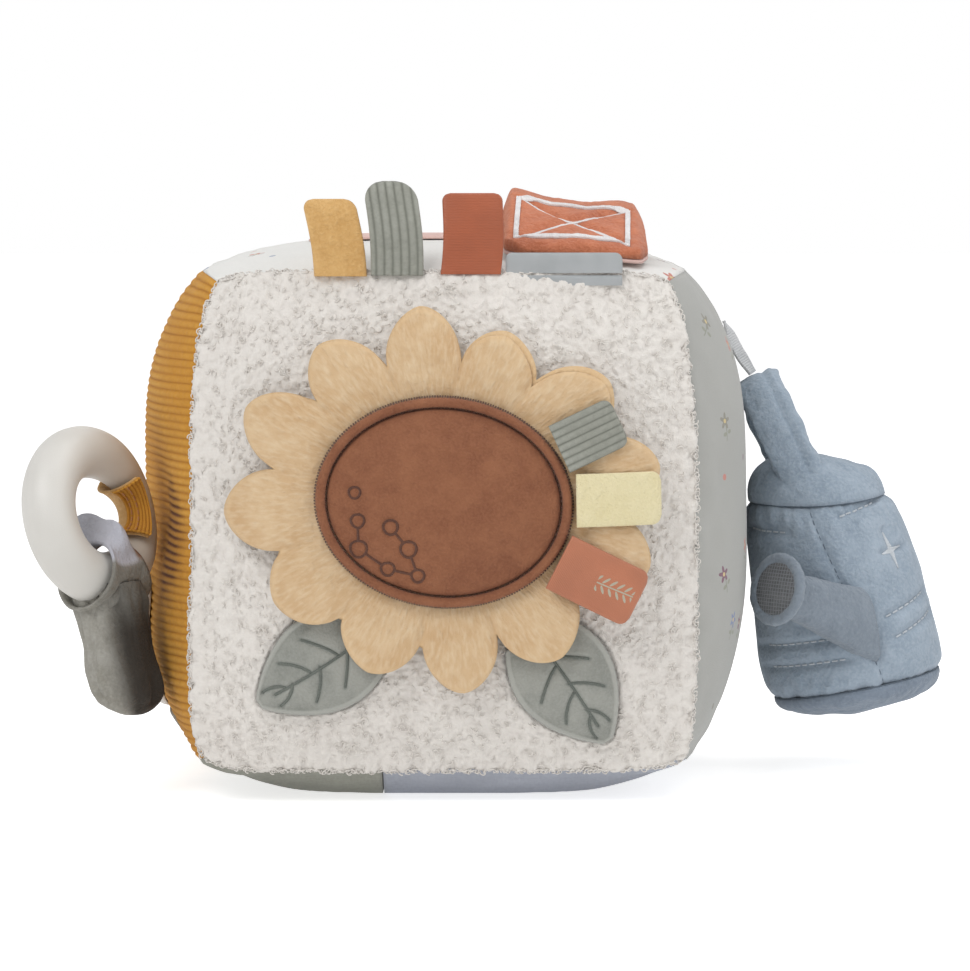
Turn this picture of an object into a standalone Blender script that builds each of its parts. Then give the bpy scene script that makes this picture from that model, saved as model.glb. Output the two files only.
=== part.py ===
"""Soft fabric activity block for a baby, as separate sewn and stuffed pieces.

Metres, +Z up. The origin is on the floor under the middle of the block. The fleece face
with the flower looks along -Y, and +X is to the right of someone who looks at it.
"""

import math

import bmesh
import bpy
from mathutils import Vector

# Fit
FIT_GAP = 0.0003
SEAM_INSET = 0.00026
FILLING_GAP = 0.0008
POLE_SHARE = 0.0001
SHARP_ANGLE = 40.0

# Block
SEAM_HALF_WIDTH = 0.067
SEAM_HALF_DEPTH = 0.066
SEAM_HALF_HEIGHT = 0.066
LOWER_SEAM_HEIGHT = 0.0096
SIDE_CROWN = 0.017
FRONT_CROWN = 0.013
TOP_CROWN = 0.0085
FOOT_PRESS = 0.0044
CROWN_POWER = 3.6
TOP_CORNER_PULL = 0.005
LOWER_CORNER_PULL = 0.0005
CORNER_POWER = 2.0
FABRIC_THICKNESS = 0.0024
PANEL_STEPS = 10
PANEL_COLUMN_SHARES = [2 * step / PANEL_STEPS - 1 for step in range(PANEL_STEPS + 1)]
BOTTOM_SPLIT_SHARE = -0.243
ROUND_STEPS = 28
SLAB_RING_SHARES = (0.5, 0.85)
CENTRE_HEIGHT = LOWER_SEAM_HEIGHT + SEAM_HALF_HEIGHT
LOWER_CROWN = LOWER_SEAM_HEIGHT + FOOT_PRESS
SKIN_SHARE = FABRIC_THICKNESS / SEAM_HALF_HEIGHT
GAP_SHARE = FILLING_GAP / SEAM_HALF_HEIGHT
SOLVER_STEPS = 12

# Hollow that the toy loop presses into the left side
HOLLOW_DEPTH = 0.0062
HOLLOW_Y = -0.040
HOLLOW_Z = 0.0765
HOLLOW_REACH_Y = 0.014
HOLLOW_REACH_Z = 0.016

# Flower
FLOWER_X = 0.0005
FLOWER_Z = 0.0825
PETAL_REACH = 0.0555
PETAL_VALLEY_HALF_WIDTH = 0.045
PETAL_VALLEY_HALF_HEIGHT = 0.0365
PETAL_ANGLES = (97, 69, 36, 9, -18, -53, -84, -114, -149, -177, -205, -231)
PETAL_REACH_SHARES = (0.93, 0.86, 0.97, 1.04, 1.03, 0.93, 0.92, 0.89, 0.94, 1.05, 1.04, 0.95)
PETAL_POWER = 2.4
PETAL_BACK_THICKNESS = 0.0012
PETAL_FRONT_THICKNESS = 0.0012
PETAL_PUFF = 0.0012
PETAL_LIFT = 0.0050
PETAL_LIFT_START_SHARE = 0.35
STEPS_PER_PETAL = 7
PETAL_RING_SHARES = (0.38, 0.62, 0.86)
PETAL_PUFF_SHARE = 0.25
FRONT_BOTTOM = PETAL_BACK_THICKNESS + FIT_GAP
PETAL_STEPS = STEPS_PER_PETAL * len(PETAL_ANGLES)

# Flower centre
EGG_HALF_WIDTH = 0.0337
EGG_HALF_HEIGHT = 0.0275
EGG_TURN = -5.0
EGG_HEIGHT = 0.0062
EGG_EDGE_HEIGHT = 0.0022
EGG_COVER_THICKNESS = 0.0012
EGG_RING_SHARES = (0.45, 0.75, 0.93)
RIM_WIDTH = 0.0026
RIM_HEIGHT = 0.0036
RIM_STEPS = 6
RIM_PROFILE_SHARE = 0.5

# Tags that stick out from under the flower centre
FLOWER_TAG_THICKNESS = 0.0016
FLOWER_TAG_CORNER = 0.0026
FLOWER_TAG_SWEEP = 0.2
TAG_LENGTH_SHARES = (0, 0.02, 0.25, 0.5, 0.75, 0.86, 0.92, 0.97, 1)
TAG_STEPS = len(TAG_LENGTH_SHARES) - 1
TAG_ROOT_SHARE = 0.35
FLOWER_TAGS = {
    "flower_tag_sage": (25.0, 0.0175, 0.0135, "sage_corduroy"),
    "flower_tag_cream": (1.0, 0.0225, 0.0140, "cream_velour"),
    "flower_tag_rust": (-27.0, 0.0235, 0.0155, "rust_satin"),
}

# Leaves
LEAF_LENGTH = 0.036
LEAF_HALF_WIDTH = 0.0135
LEAF_LAYER = 0.0008
LEAF_ROOT_SHARE = 0.80
LEAF_TAPER_SHARE = 0.78
LEAF_TIP_SHARE = 0.03
LEAF_POWER = 0.8
LEAF_STEPS = 10
LEAVES = {
    "leaf_left": (-0.0185, 0.0475, -147.0),
    "leaf_right": (0.0240, 0.0475, -56.0),
}

# Tags in the seam between the front and the top
SEAM_TAG_GAP = 0.0007
SEAM_TAGS = {
    "top_tag_yellow": (-0.0270, 0.0140, 0.0205, 0.0030, 0.0030, -8.0, "yellow_plush"),
    "top_tag_sage": (-0.0120, 0.0140, 0.0250, 0.0028, 0.0055, -4.0, "sage_corduroy"),
    "top_tag_rust": (0.0075, 0.0160, 0.0215, 0.0014, 0.0022, 2.0, "rust_satin"),
    "woven_label": (0.0322, 0.0310, 0.0085, 0.0012, 0.0012, 0.0, "grey_blue_label"),
}

# Patch and barn-door flap on top
PATCH_X = 0.009
PATCH_Y = 0.012
PATCH_HALF_WIDTH = 0.047
PATCH_HALF_DEPTH = 0.034
PATCH_THICKNESS = 0.0009
PATCH_RING_SHARES = (0.45, 0.8)
BOX_POWER = 7.0
FLAP_X = 0.0355
FLAP_FRONT_Y = -0.0585
FLAP_DEPTH = 0.047
FLAP_HALF_WIDTH = 0.0195
FLAP_HEIGHT = 0.0088
FLAP_EDGE_HEIGHT = 0.0034
FLAP_COVER_THICKNESS = 0.0012
FLAP_LINING_THICKNESS = 0.0009
FLAP_WADDING_EDGE = 0.00045
FLAP_SEAT_GAP = 0.0005

# Teether ring, held in the loop
RING_RADIUS = 0.0173
RING_TUBE_RADIUS = 0.0072
RING_THINNING = 0.0030
RING_THIN_REACH = 48.0
RING_TURN = 56.0
RING_LEAN = 14.0
RING_STEPS = 24
RING_TUBE_STEPS = 12

# Fabric loop that holds the ring, and the toy's sleeve that hangs on it
LOOP_LAYER = 0.0012
LOOP_CLEARANCE = 0.0004
LOOP_FLARE = 0.0015
LOOP_REACH = 32.0
LOOP_MOUTH_HALF_ANGLE = 60.0
LOOP_MOUTH_TURN = 56.0
LOOP_PANEL_GAP = 0.0024
LOOP_STEPS = (5, 14)
SLEEVE_LAYER = 0.0013
SLEEVE_REACH = 24.0
SLEEVE_ROW_SHARES = (-1, -0.5, 0, 0.5, 1)

# Velour toy that hangs from the ring
CHARM_HALF_WIDTH = 0.0150
CHARM_HALF_THICKNESS = 0.0078
CHARM_LENGTH = 0.0295
CHARM_LEAN = 10.0
CHARM_STEPS = 16
CHARM_ROWS = 8
CHARM_POWER = 0.55
CHARM_NECK_SHARE = 0.85

# Padded fleece shape with two feet, sewn on the left side
PAD_Y = 0.003
PAD_Z = 0.039
PAD_HALF_WIDTH = 0.040
PAD_HALF_HEIGHT = 0.0185
PAD_HEIGHT = 0.0055
PAD_EDGE_HEIGHT = 0.0020
PAD_SEAT_GAP = 0.0005
FOOT_HALF_WIDTH = 0.0060
FOOT_HALF_HEIGHT = 0.0050
FOOT_THICKNESS = 0.0018
FOOT_STEPS = 3
FOOT_OFFSETS = {"side_foot_front": -0.022, "side_foot_back": 0.022}

# Ribbon of the watering can
RIBBON_Y = 0.006
RIBBON_Z = 0.1265
RIBBON_WIDTH = 0.0036
RIBBON_THICKNESS = 0.0012
RIBBON_STEPS = 6

# Stuffed watering can
CAN_X = 0.1134
CAN_Y = 0.006
CAN_Z = 0.052
CAN_LEAN = 14.0
CAN_DEPTH_SHARE = 0.84
CAN_COVER_THICKNESS = 0.0013
CAN_HEIGHT = 0.064
CAN_DISC_THICKNESS = 0.0014
CAN_LID_RADIUS = 0.0218
CAN_MIDDLE_RADIUS = 0.0245
CAN_BASE_RADIUS = 0.0272
CAN_LID_CROWN = 0.0032
CAN_BASE_CROWN = 0.0020
CAN_STEPS = 20
CAN_ROW_SHARES = (-1, -0.75, -0.4, 0, 0.4, 0.75, 1)
HANDLE_SPAN = 0.0105
HANDLE_HEIGHT = 0.0285
HANDLE_HALF_WIDTH = 0.0058
HANDLE_HALF_THICKNESS = 0.0029
HANDLE_X = -0.0030
HANDLE_LEAN = 11.0
HANDLE_STEPS = 14
HANDLE_ROUND_STEPS = 10
SQUARE_POWER = 0.7
SPOUT_BASE = (-0.0010, -0.0110)
SPOUT_DIRECTION = (-0.64, -0.66, 0.40)
SPOUT_LENGTH = 0.0235
SPOUT_BASE_HALF_HEIGHT = 0.0090
SPOUT_TIP_HALF_HEIGHT = 0.0052
SPOUT_BASE_HALF_WIDTH = 0.0048
SPOUT_TIP_HALF_WIDTH = 0.0040
ROSE_RADIUS = 0.0103
ROSE_FACE_RADIUS = 0.0068
ROSE_THICKNESS = 0.0056
ROSE_FACE_THICKNESS = 0.0014
ROSE_STEPS = 16
ROSE_SHOULDER_SHARES = (0.6, 0.3)
SPOUT_STEPS = 12
SPOUT_ROOT_SHARE = 0.6
SPOUT_SEAT_GAP = 0.0005

MATERIALS = {
    "polyester_filling": ((0.80, 0.79, 0.76), 0.95),
    "cream_fleece": ((0.66, 0.63, 0.60), 0.95),
    "ochre_corduroy": ((0.39, 0.19, 0.045), 0.90),
    "pale_jersey": ((0.55, 0.56, 0.53), 0.85),
    "sage_fabric": ((0.24, 0.24, 0.20), 0.90),
    "blue_fabric": ((0.37, 0.38, 0.41), 0.90),
    "yellow_plush": ((0.69, 0.50, 0.26), 0.90),
    "brown_minky": ((0.26, 0.11, 0.06), 0.80),
    "sage_corduroy": ((0.33, 0.33, 0.29), 0.90),
    "cream_velour": ((0.77, 0.68, 0.43), 0.85),
    "rust_satin": ((0.46, 0.16, 0.08), 0.50),
    "sage_leaf": ((0.36, 0.36, 0.33), 0.85),
    "grey_blue_label": ((0.40, 0.41, 0.41), 0.60),
    "pink_cotton": ((0.70, 0.47, 0.42), 0.85),
    "rust_plush": ((0.50, 0.20, 0.12), 0.90),
    "cream_silicone": ((0.73, 0.71, 0.67), 0.45),
    "sage_velour": ((0.30, 0.29, 0.25), 0.85),
    "grey_ribbon": ((0.56, 0.57, 0.58), 0.60),
    "blue_velour": ((0.27, 0.33, 0.40), 0.85),
    "light_blue_velour": ((0.24, 0.31, 0.37), 0.85),
    "charcoal_mesh": ((0.13, 0.14, 0.15), 0.80),
}


def clear_scene():
    for old in list(bpy.data.objects):
        bpy.data.objects.remove(old)


def make_material(name):
    colour, roughness = MATERIALS[name]
    made = bpy.data.materials.get(name) or bpy.data.materials.new(name)
    made.use_nodes = True
    shader = made.node_tree.nodes["Principled BSDF"]
    shader.inputs["Base Color"].default_value = (*colour, 1.0)
    shader.inputs["Roughness"].default_value = roughness
    return made


def make_pivot(name, place, parent=None):
    """An empty on a joint's axis, which carries the pieces that move there."""
    pivot = bpy.data.objects.new(name, None)
    bpy.context.collection.objects.link(pivot)
    pivot.location = place - (parent["place"] if parent else Vector())
    pivot.parent = parent["object"] if parent else None
    print(f"{name}: {tuple(round(value, 5) for value in place)}")
    return {"object": pivot, "place": place}


def finish(name, bm, material, pivot=None):
    """Closes a piece's mesh and puts it in the scene, under its joint's empty if it moves."""
    bmesh.ops.recalc_face_normals(bm, faces=bm.faces[:])
    if bm.calc_volume(signed=True) < 0:
        bmesh.ops.reverse_faces(bm, faces=bm.faces[:])
    if pivot:
        bmesh.ops.translate(bm, verts=bm.verts[:], vec=-pivot["place"])
    mesh = bpy.data.meshes.new(name)
    bm.to_mesh(mesh)
    bm.free()
    mesh.shade_smooth()
    mesh.set_sharp_from_angle(angle=math.radians(SHARP_ANGLE))
    mesh.materials.append(make_material(material))
    piece = bpy.data.objects.new(name, mesh)
    bpy.context.collection.objects.link(piece)
    if pivot:
        piece.parent = pivot["object"]
    return piece


def sheet(steps_u, steps_v):
    """A closed slab on unit coordinates: u and v from -1 to 1, and a side of 1 or 0."""
    bm = bmesh.new()
    bmesh.ops.create_grid(bm, x_segments=steps_u, y_segments=steps_v, size=1)
    bmesh.ops.translate(bm, verts=bm.verts[:], vec=(0, 0, 1))
    outer = bm.faces[:]
    made = bmesh.ops.extrude_face_region(bm, geom=outer, use_keep_orig=True)
    for item in made["geom"]:
        if isinstance(item, bmesh.types.BMVert):
            item.co.z = 0
    return bm


def spun(profile, steps, closed=False):
    """Turns points (radius, height) about the unit axis, into a body with its poles merged."""
    bm = bmesh.new()
    verts = [bm.verts.new((radius, 0, height)) for radius, height in profile]
    edges = [bm.edges.new(pair) for pair in zip(verts, verts[1:])]
    if closed:
        edges.append(bm.edges.new((verts[-1], verts[0])))
    bmesh.ops.spin(
        bm, geom=verts + edges, cent=(0, 0, 0), axis=(0, 0, 1), angle=math.tau, steps=steps, use_merge=True
    )
    if not closed:
        poles = [vert for vert in bm.verts if math.hypot(vert.co.x, vert.co.y) < POLE_SHARE]
        bmesh.ops.remove_doubles(bm, verts=poles, dist=POLE_SHARE)
    return bm


def disc(steps, ring_shares):
    """A closed round slab: radius from 0 to 1, with a side of 1 or 0 as its height."""
    top = [(share, 1) for share in (0, *ring_shares, 1)]
    return spun(top + [(share, 0) for share, _ in reversed(top)], steps)


def unit_roll(steps):
    """Profile of a round tube at a distance of 1 from the axis that it is turned about."""
    turns = [math.tau * step / steps for step in range(steps)]
    return [(1 + RIM_PROFILE_SHARE * math.cos(a), RIM_PROFILE_SHARE * math.sin(a)) for a in turns]


def warp(bm, place):
    for vert in bm.verts:
        vert.co = place(vert.co)
    return bm


def warp_round(bm, place):
    """Moves each point by its radius, its angle about the axis and its height."""
    for vert in bm.verts:
        x, y, height = vert.co
        vert.co = place(math.hypot(x, y), math.atan2(y, x), height)
    return bm


def smooth_step(value):
    value = min(max(value, 0), 1)
    return value * value * (3 - 2 * value)


# Shape of the block


def fullness(a, b):
    """Share of a face's crown: 0 on its seams and 1 in its middle."""
    return (1 - abs(a) ** CROWN_POWER) * (1 - abs(b) ** CROWN_POWER)


def hollow(y, z):
    """How deep the toy loop presses the left side in at a place on it."""
    across = (y * SEAM_HALF_DEPTH - HOLLOW_Y) / HOLLOW_REACH_Y
    up = (CENTRE_HEIGHT + z * SEAM_HALF_HEIGHT - HOLLOW_Z) / HOLLOW_REACH_Z
    return HOLLOW_DEPTH * math.exp(-(across * across + up * up) / 2)


def block_point(place):
    """Where a point of the cube from -1 to 1 lies in the stuffed block."""
    layer = max(abs(value) for value in place)
    x, y, z = (value / layer for value in place)
    corner = abs(x * y * z) ** CORNER_POWER * (TOP_CORNER_PULL if z > 0 else LOWER_CORNER_PULL)
    half_width = SEAM_HALF_WIDTH + SIDE_CROWN * fullness(y, z) - corner
    if x < 0:
        half_width -= hollow(y, z)
    half_depth = SEAM_HALF_DEPTH + FRONT_CROWN * fullness(x, z) - corner
    if z > 0:
        half_height = SEAM_HALF_HEIGHT + TOP_CROWN * fullness(x, y)
    else:
        half_height = min(SEAM_HALF_HEIGHT + LOWER_CROWN * fullness(x, y), CENTRE_HEIGHT)
    middle = Vector((0, 0, CENTRE_HEIGHT))
    return middle + layer * Vector((x * half_width, y * half_depth, z * half_height))


FACES = {
    "front": lambda u, v: Vector((u, -1, v)),
    "back": lambda u, v: Vector((u, 1, v)),
    "left": lambda u, v: Vector((-1, u, v)),
    "right": lambda u, v: Vector((1, u, v)),
    "top": lambda u, v: Vector((u, v, 1)),
    "bottom": lambda u, v: Vector((u, v, -1)),
}
FACE_AXES = {"front": (0, 2), "back": (0, 2), "left": (1, 2), "right": (1, 2), "top": (0, 1), "bottom": (0, 1)}
HALF_SIZES = (SEAM_HALF_WIDTH, SEAM_HALF_DEPTH, SEAM_HALF_HEIGHT)


def surface_point(face, a, b):
    """The point of a face's outer fabric at two of its coordinates, X and Z on the front."""
    first, second = FACE_AXES[face]
    u = v = 0
    point = block_point(FACES[face](u, v))
    for _ in range(SOLVER_STEPS):
        u += (a - point[first]) / HALF_SIZES[first]
        v += (b - point[second]) / HALF_SIZES[second]
        u, v = (min(max(value, -1), 1) for value in (u, v))
        point = block_point(FACES[face](u, v))
    return point


OUTWARD = {
    "front": Vector((0, -1, 0)),
    "left": Vector((-1, 0, 0)),
    "right": Vector((1, 0, 0)),
    "top": Vector((0, 0, 1)),
}


def on_face(face, a, b, lift):
    return surface_point(face, a, b) + lift * OUTWARD[face]


def panel(name, face, material, columns=PANEL_COLUMN_SHARES):
    """One sewn panel, between its outer face and the filling, mitred at its seams."""
    inset = SEAM_INSET / SEAM_HALF_WIDTH
    last = len(columns) - 1
    bm = sheet(last, PANEL_STEPS)

    def place(point):
        u = columns[round(last * (point.x + 1) / 2)]
        u = min(max(u, columns[0] + inset), columns[last] - inset)
        v = point.y * (1 - inset)
        return block_point(FACES[face](u, v) * (1 - SKIN_SHARE * (1 - point.z)))

    return finish(name, split_quads(warp(bm, place)), material)


def split_quads(bm):
    """Cuts curved quads along their shorter diagonal, so that fabric and filling match."""
    bmesh.ops.triangulate(bm, faces=bm.faces[:], quad_method="SHORT_EDGE")
    return bm


def make_block():
    bm = bmesh.new()
    bmesh.ops.create_cube(bm, size=2)
    bmesh.ops.subdivide_edges(bm, edges=bm.edges[:], cuts=PANEL_STEPS - 1, use_grid_fill=True)
    core = 1 - SKIN_SHARE - GAP_SHARE
    warp(bm, lambda point: block_point(point * core))
    finish("filling", split_quads(bm), "polyester_filling")
    panel("front_panel", "front", "cream_fleece")
    panel("back_panel", "back", "pale_jersey")
    panel("left_panel", "left", "ochre_corduroy")
    panel("right_panel", "right", "pale_jersey")
    panel("top_panel", "top", "pale_jersey")
    left_columns = [column for column in PANEL_COLUMN_SHARES if column < BOTTOM_SPLIT_SHARE]
    right_columns = PANEL_COLUMN_SHARES[len(left_columns) :]
    panel("bottom_panel_sage", "bottom", "sage_fabric", [*left_columns, BOTTOM_SPLIT_SHARE])
    panel("bottom_panel_blue", "bottom", "blue_fabric", [BOTTOM_SPLIT_SHARE, *right_columns])


# Flower


def petal_edge(angle):
    """Distance of the scalloped edge from the flower's middle, at an angle in radians."""
    degrees = math.degrees(angle)
    valley = 1 / math.hypot(
        math.cos(angle) / PETAL_VALLEY_HALF_WIDTH, math.sin(angle) / PETAL_VALLEY_HALF_HEIGHT
    )
    count = len(PETAL_ANGLES)
    for index, middle in enumerate(PETAL_ANGLES):
        before = (PETAL_ANGLES[index - 1] - middle) % 360
        after = (middle - PETAL_ANGLES[(index + 1) % count]) % 360
        away = (degrees - middle + 180) % 360 - 180
        half = before / 2 if away > 0 else after / 2
        if abs(away) <= half:
            round_share = (1 - (abs(away) / half) ** PETAL_POWER) ** (1 / PETAL_POWER)
            reach = PETAL_REACH * PETAL_REACH_SHARES[index]
            return valley + (reach - valley) * round_share
    return valley


def egg_edge(angle):
    """Distance of the flower centre's outline from its middle."""
    turned = angle - math.radians(EGG_TURN)
    return 1 / math.hypot(math.cos(turned) / EGG_HALF_WIDTH, math.sin(turned) / EGG_HALF_HEIGHT)


def flower_point(distance, angle, lift):
    return on_face(
        "front", FLOWER_X + distance * math.cos(angle), FLOWER_Z + distance * math.sin(angle), lift
    )


def petal_rise(distance, angle):
    """How far the petals' underside stands off the fleece: more towards their tips."""
    share = distance / PETAL_REACH
    start = PETAL_LIFT_START_SHARE
    return FIT_GAP + PETAL_LIFT * smooth_step((share - start) / (1 - start))


def petal_top(distance, angle):
    """Height of the front layer's outer face over the fleece, puffed inside each petal."""
    edge = petal_edge(angle)
    inside = smooth_step((1 - distance / edge) / PETAL_PUFF_SHARE)
    return petal_rise(distance, angle) + FRONT_BOTTOM + PETAL_FRONT_THICKNESS + PETAL_PUFF * inside


def make_flower():
    def back(radius, angle, side):
        distance = radius * petal_edge(angle)
        return flower_point(distance, angle, petal_rise(distance, angle) + side * PETAL_BACK_THICKNESS)

    def front(radius, angle, side):
        distance = radius * petal_edge(angle)
        low = petal_rise(distance, angle) + FRONT_BOTTOM
        return flower_point(distance, angle, petal_top(distance, angle) if side else low)

    bm = warp_round(disc(PETAL_STEPS, PETAL_RING_SHARES), back)
    finish("flower_petals_back", split_quads(bm), "yellow_plush")
    bm = warp_round(disc(PETAL_STEPS, PETAL_RING_SHARES), front)
    finish("flower_petals_front", split_quads(bm), "yellow_plush")

    def dome(share):
        return EGG_EDGE_HEIGHT + (EGG_HEIGHT - EGG_EDGE_HEIGHT) * (1 - share**CROWN_POWER)

    def seat(distance, angle):
        return petal_top(distance, angle) + FIT_GAP

    def wadding(radius, angle, side):
        distance = radius * (egg_edge(angle) - RIM_WIDTH - FIT_GAP)
        high = dome(radius) - EGG_COVER_THICKNESS - FIT_GAP
        return flower_point(distance, angle, seat(distance, angle) + side * high)

    def cover(radius, angle, side):
        distance = radius * (egg_edge(angle) - RIM_WIDTH - FIT_GAP)
        high = dome(radius) - (1 - side) * EGG_COVER_THICKNESS
        return flower_point(distance, angle, seat(distance, angle) + high)

    finish("flower_centre_wadding", warp_round(disc(ROUND_STEPS, EGG_RING_SHARES), wadding), "polyester_filling")
    finish("flower_centre_cover", warp_round(disc(ROUND_STEPS, EGG_RING_SHARES), cover), "brown_minky")

    def rim(across, angle, height):
        middle = egg_edge(angle) - RIM_WIDTH / 2
        distance = middle + (across - 1) * RIM_WIDTH / 2 / RIM_PROFILE_SHARE
        lift = seat(distance, angle) + RIM_HEIGHT * (height / RIM_PROFILE_SHARE + 1) / 2
        return flower_point(distance, angle, lift)

    roll = spun(unit_roll(RIM_STEPS), ROUND_STEPS, closed=True)
    finish("flower_centre_rim", warp_round(roll, rim), "brown_minky")


def make_flower_tags():
    """Three tags whose sewn ends lie against the flower centre's rim."""
    for name, (turn, length, width, material) in FLOWER_TAGS.items():
        angle = math.radians(turn)
        along = Vector((math.cos(angle), math.sin(angle)))
        across = Vector((-along.y, along.x))
        half = width / 2
        edge_angles = [angle + step * FLOWER_TAG_SWEEP for step in (-1, 0, 1)]
        reach = max(egg_edge(a) * math.cos(a - angle) for a in edge_angles)
        root = reach + FIT_GAP + FLOWER_TAG_THICKNESS / 2
        highest = max(
            petal_top(root + length * share, angle + side * math.atan2(half, root))
            for share in TAG_LENGTH_SHARES
            for side in (-1, 0, 1)
        )
        lift = highest + FIT_GAP + FLOWER_TAG_THICKNESS / 2
        hinge_flat = along * root
        hinge = on_face("front", FLOWER_X + hinge_flat.x, FLOWER_Z + hinge_flat.y, lift)
        pivot = make_pivot(name + "_hinge", hinge)

        def place(point, along=along, across=across, root=root, length=length, half=half, lift=lift):
            distance, side = rounded_slab(point, length, half, FLOWER_TAG_THICKNESS, FLOWER_TAG_CORNER)
            flat = along * (root + distance.x) + across * distance.y
            return on_face("front", FLOWER_X + flat.x, FLOWER_Z + flat.y, lift + side)

        finish(name, warp(sheet(TAG_STEPS, 4), place), material, pivot)


def rounded_slab(point, length, half_width, thickness, corner):
    """Flat place and height of a tag's point: a round root edge and rounded far corners."""
    step = round(TAG_STEPS * (point.x + 1) / 2)
    side = 2 * point.z - 1
    root_share = 1 if step else TAG_ROOT_SHARE
    along = length * TAG_LENGTH_SHARES[step] if step else -thickness / 2
    from_end = max(0, corner - (length - along))
    narrow = corner - math.sqrt(max(0, corner * corner - from_end * from_end))
    across = point.y * (half_width - narrow)
    return Vector((along, across)), side * root_share * thickness / 2


# Leaves


def make_leaves():
    """Two-layer leaves, hinged where they come out from under the petals."""
    for name, (root_x, root_z, turn) in LEAVES.items():
        angle = math.radians(turn)
        along = Vector((math.cos(angle), math.sin(angle)))
        across = Vector((-along.y, along.x))
        hinge = on_face("front", root_x, root_z, FIT_GAP + LEAF_LAYER)
        pivot = make_pivot(name + "_hinge", hinge)
        for part, low in (("back", FIT_GAP), ("front", 2 * FIT_GAP + LEAF_LAYER)):

            def place(point, low=low):
                share = (point.x + 1) / 2
                width = leaf_half_width(share)
                flat = Vector((root_x, root_z)) + along * share * LEAF_LENGTH + across * point.y * width
                return on_face("front", flat.x, flat.y, low + point.z * LEAF_LAYER)

            finish(f"{name}_{part}", warp(sheet(LEAF_STEPS, 4), place), "sage_leaf", pivot)


def leaf_half_width(share):
    """Half the leaf's width, from its cut root to its pointed tip."""
    belly = math.sin(math.pi * (LEAF_ROOT_SHARE - share * LEAF_TAPER_SHARE)) ** LEAF_POWER
    return LEAF_HALF_WIDTH * max(belly, LEAF_TIP_SHARE)


# Tags in the upper front seam


def seam_root(x, thickness):
    seam = surface_point("front", x, CENTRE_HEIGHT + SEAM_HALF_HEIGHT)
    offset = thickness / 2 + SEAM_TAG_GAP
    return seam + offset * Vector((0, -1, 1)).normalized()


def make_seam_tags():
    for name, (x, width, height, thickness, corner, lean, material) in SEAM_TAGS.items():
        roots = [seam_root(x + side * width / 2, thickness) for side in (-1, 0, 1)]
        hinge = max(roots, key=lambda root: root.z - root.y)
        hinge.x = x
        pivot = make_pivot(name + "_hinge", hinge)
        tilt = math.tan(math.radians(lean))

        def place(point):
            flat, side = rounded_slab(point, height, width / 2, thickness, corner)
            slide = tilt * max(flat.x, 0)
            return hinge + Vector((-flat.y + slide, -side, flat.x))

        finish(name, warp(sheet(TAG_STEPS, 2), place), material, pivot)


# Patch and flap on top


def rounded_box_edge(angle, half_a, half_b):
    """Distance of a rounded rectangle's edge from its middle."""
    a, b = abs(math.cos(angle)) / half_a, abs(math.sin(angle)) / half_b
    return (a**BOX_POWER + b**BOX_POWER) ** (-1 / BOX_POWER)


def make_patch():
    def place(radius, angle, side):
        distance = radius * rounded_box_edge(angle, PATCH_HALF_WIDTH, PATCH_HALF_DEPTH)
        x, y = PATCH_X + distance * math.cos(angle), PATCH_Y + distance * math.sin(angle)
        return on_face("top", x, y, FIT_GAP + side * PATCH_THICKNESS)

    finish("top_patch", warp_round(disc(ROUND_STEPS, PATCH_RING_SHARES), place), "pink_cotton")


def make_flap():
    """Stuffed barn-door flap on a flat lining, hinged along its back edge."""
    half_depth = FLAP_DEPTH / 2
    middle_y = FLAP_FRONT_Y + half_depth
    hinge_y = FLAP_FRONT_Y + FLAP_DEPTH
    seat = PATCH_THICKNESS + 2 * FIT_GAP + FLAP_SEAT_GAP
    ends = [surface_point("top", FLAP_X, y).z for y in (FLAP_FRONT_Y, middle_y, hinge_y)]
    slope = (ends[2] - ends[0]) / FLAP_DEPTH
    bow = max(0, ends[1] - (ends[0] + ends[2]) / 2)
    pivot = make_pivot("barn_flap_hinge", Vector((FLAP_X, hinge_y, ends[2] + seat)))

    def base(x, y):
        share = (y - middle_y) / half_depth
        height = ends[0] + slope * (y - FLAP_FRONT_Y) + bow * (1 - share * share)
        return Vector((x, y, height + seat))

    def flap(radius, angle, height, inset=0):
        edge = rounded_box_edge(angle, FLAP_HALF_WIDTH - inset, half_depth - inset)
        x, y = FLAP_X + radius * edge * math.cos(angle), middle_y + radius * edge * math.sin(angle)
        return base(x, y) + Vector((0, 0, height))

    def dome(radius):
        return FLAP_EDGE_HEIGHT + (FLAP_HEIGHT - FLAP_EDGE_HEIGHT) * (1 - radius**CROWN_POWER)

    wadding_low = FLAP_LINING_THICKNESS + FIT_GAP
    wadding_edge = wadding_low + FLAP_WADDING_EDGE

    def lining(radius, angle, side):
        return flap(radius, angle, side * FLAP_LINING_THICKNESS)

    def wadding(radius, angle, side):
        high = max(dome(radius) - FLAP_COVER_THICKNESS - FIT_GAP, wadding_edge)
        return flap(radius, angle, high if side else wadding_low, FLAP_COVER_THICKNESS)

    def cover(radius, angle, side):
        low = max(dome(radius) - FLAP_COVER_THICKNESS, wadding_edge + FIT_GAP)
        return flap(radius, angle, dome(radius) if side else low)

    layers = (
        ("barn_flap_lining", lining, "pink_cotton"),
        ("barn_flap_wadding", wadding, "polyester_filling"),
        ("barn_flap_cover", cover, "rust_plush"),
    )
    for name, place, material in layers:
        finish(name, warp_round(disc(ROUND_STEPS, SLAB_RING_SHARES), place), material, pivot)


# Ring, its loop and the velour toy


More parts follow.
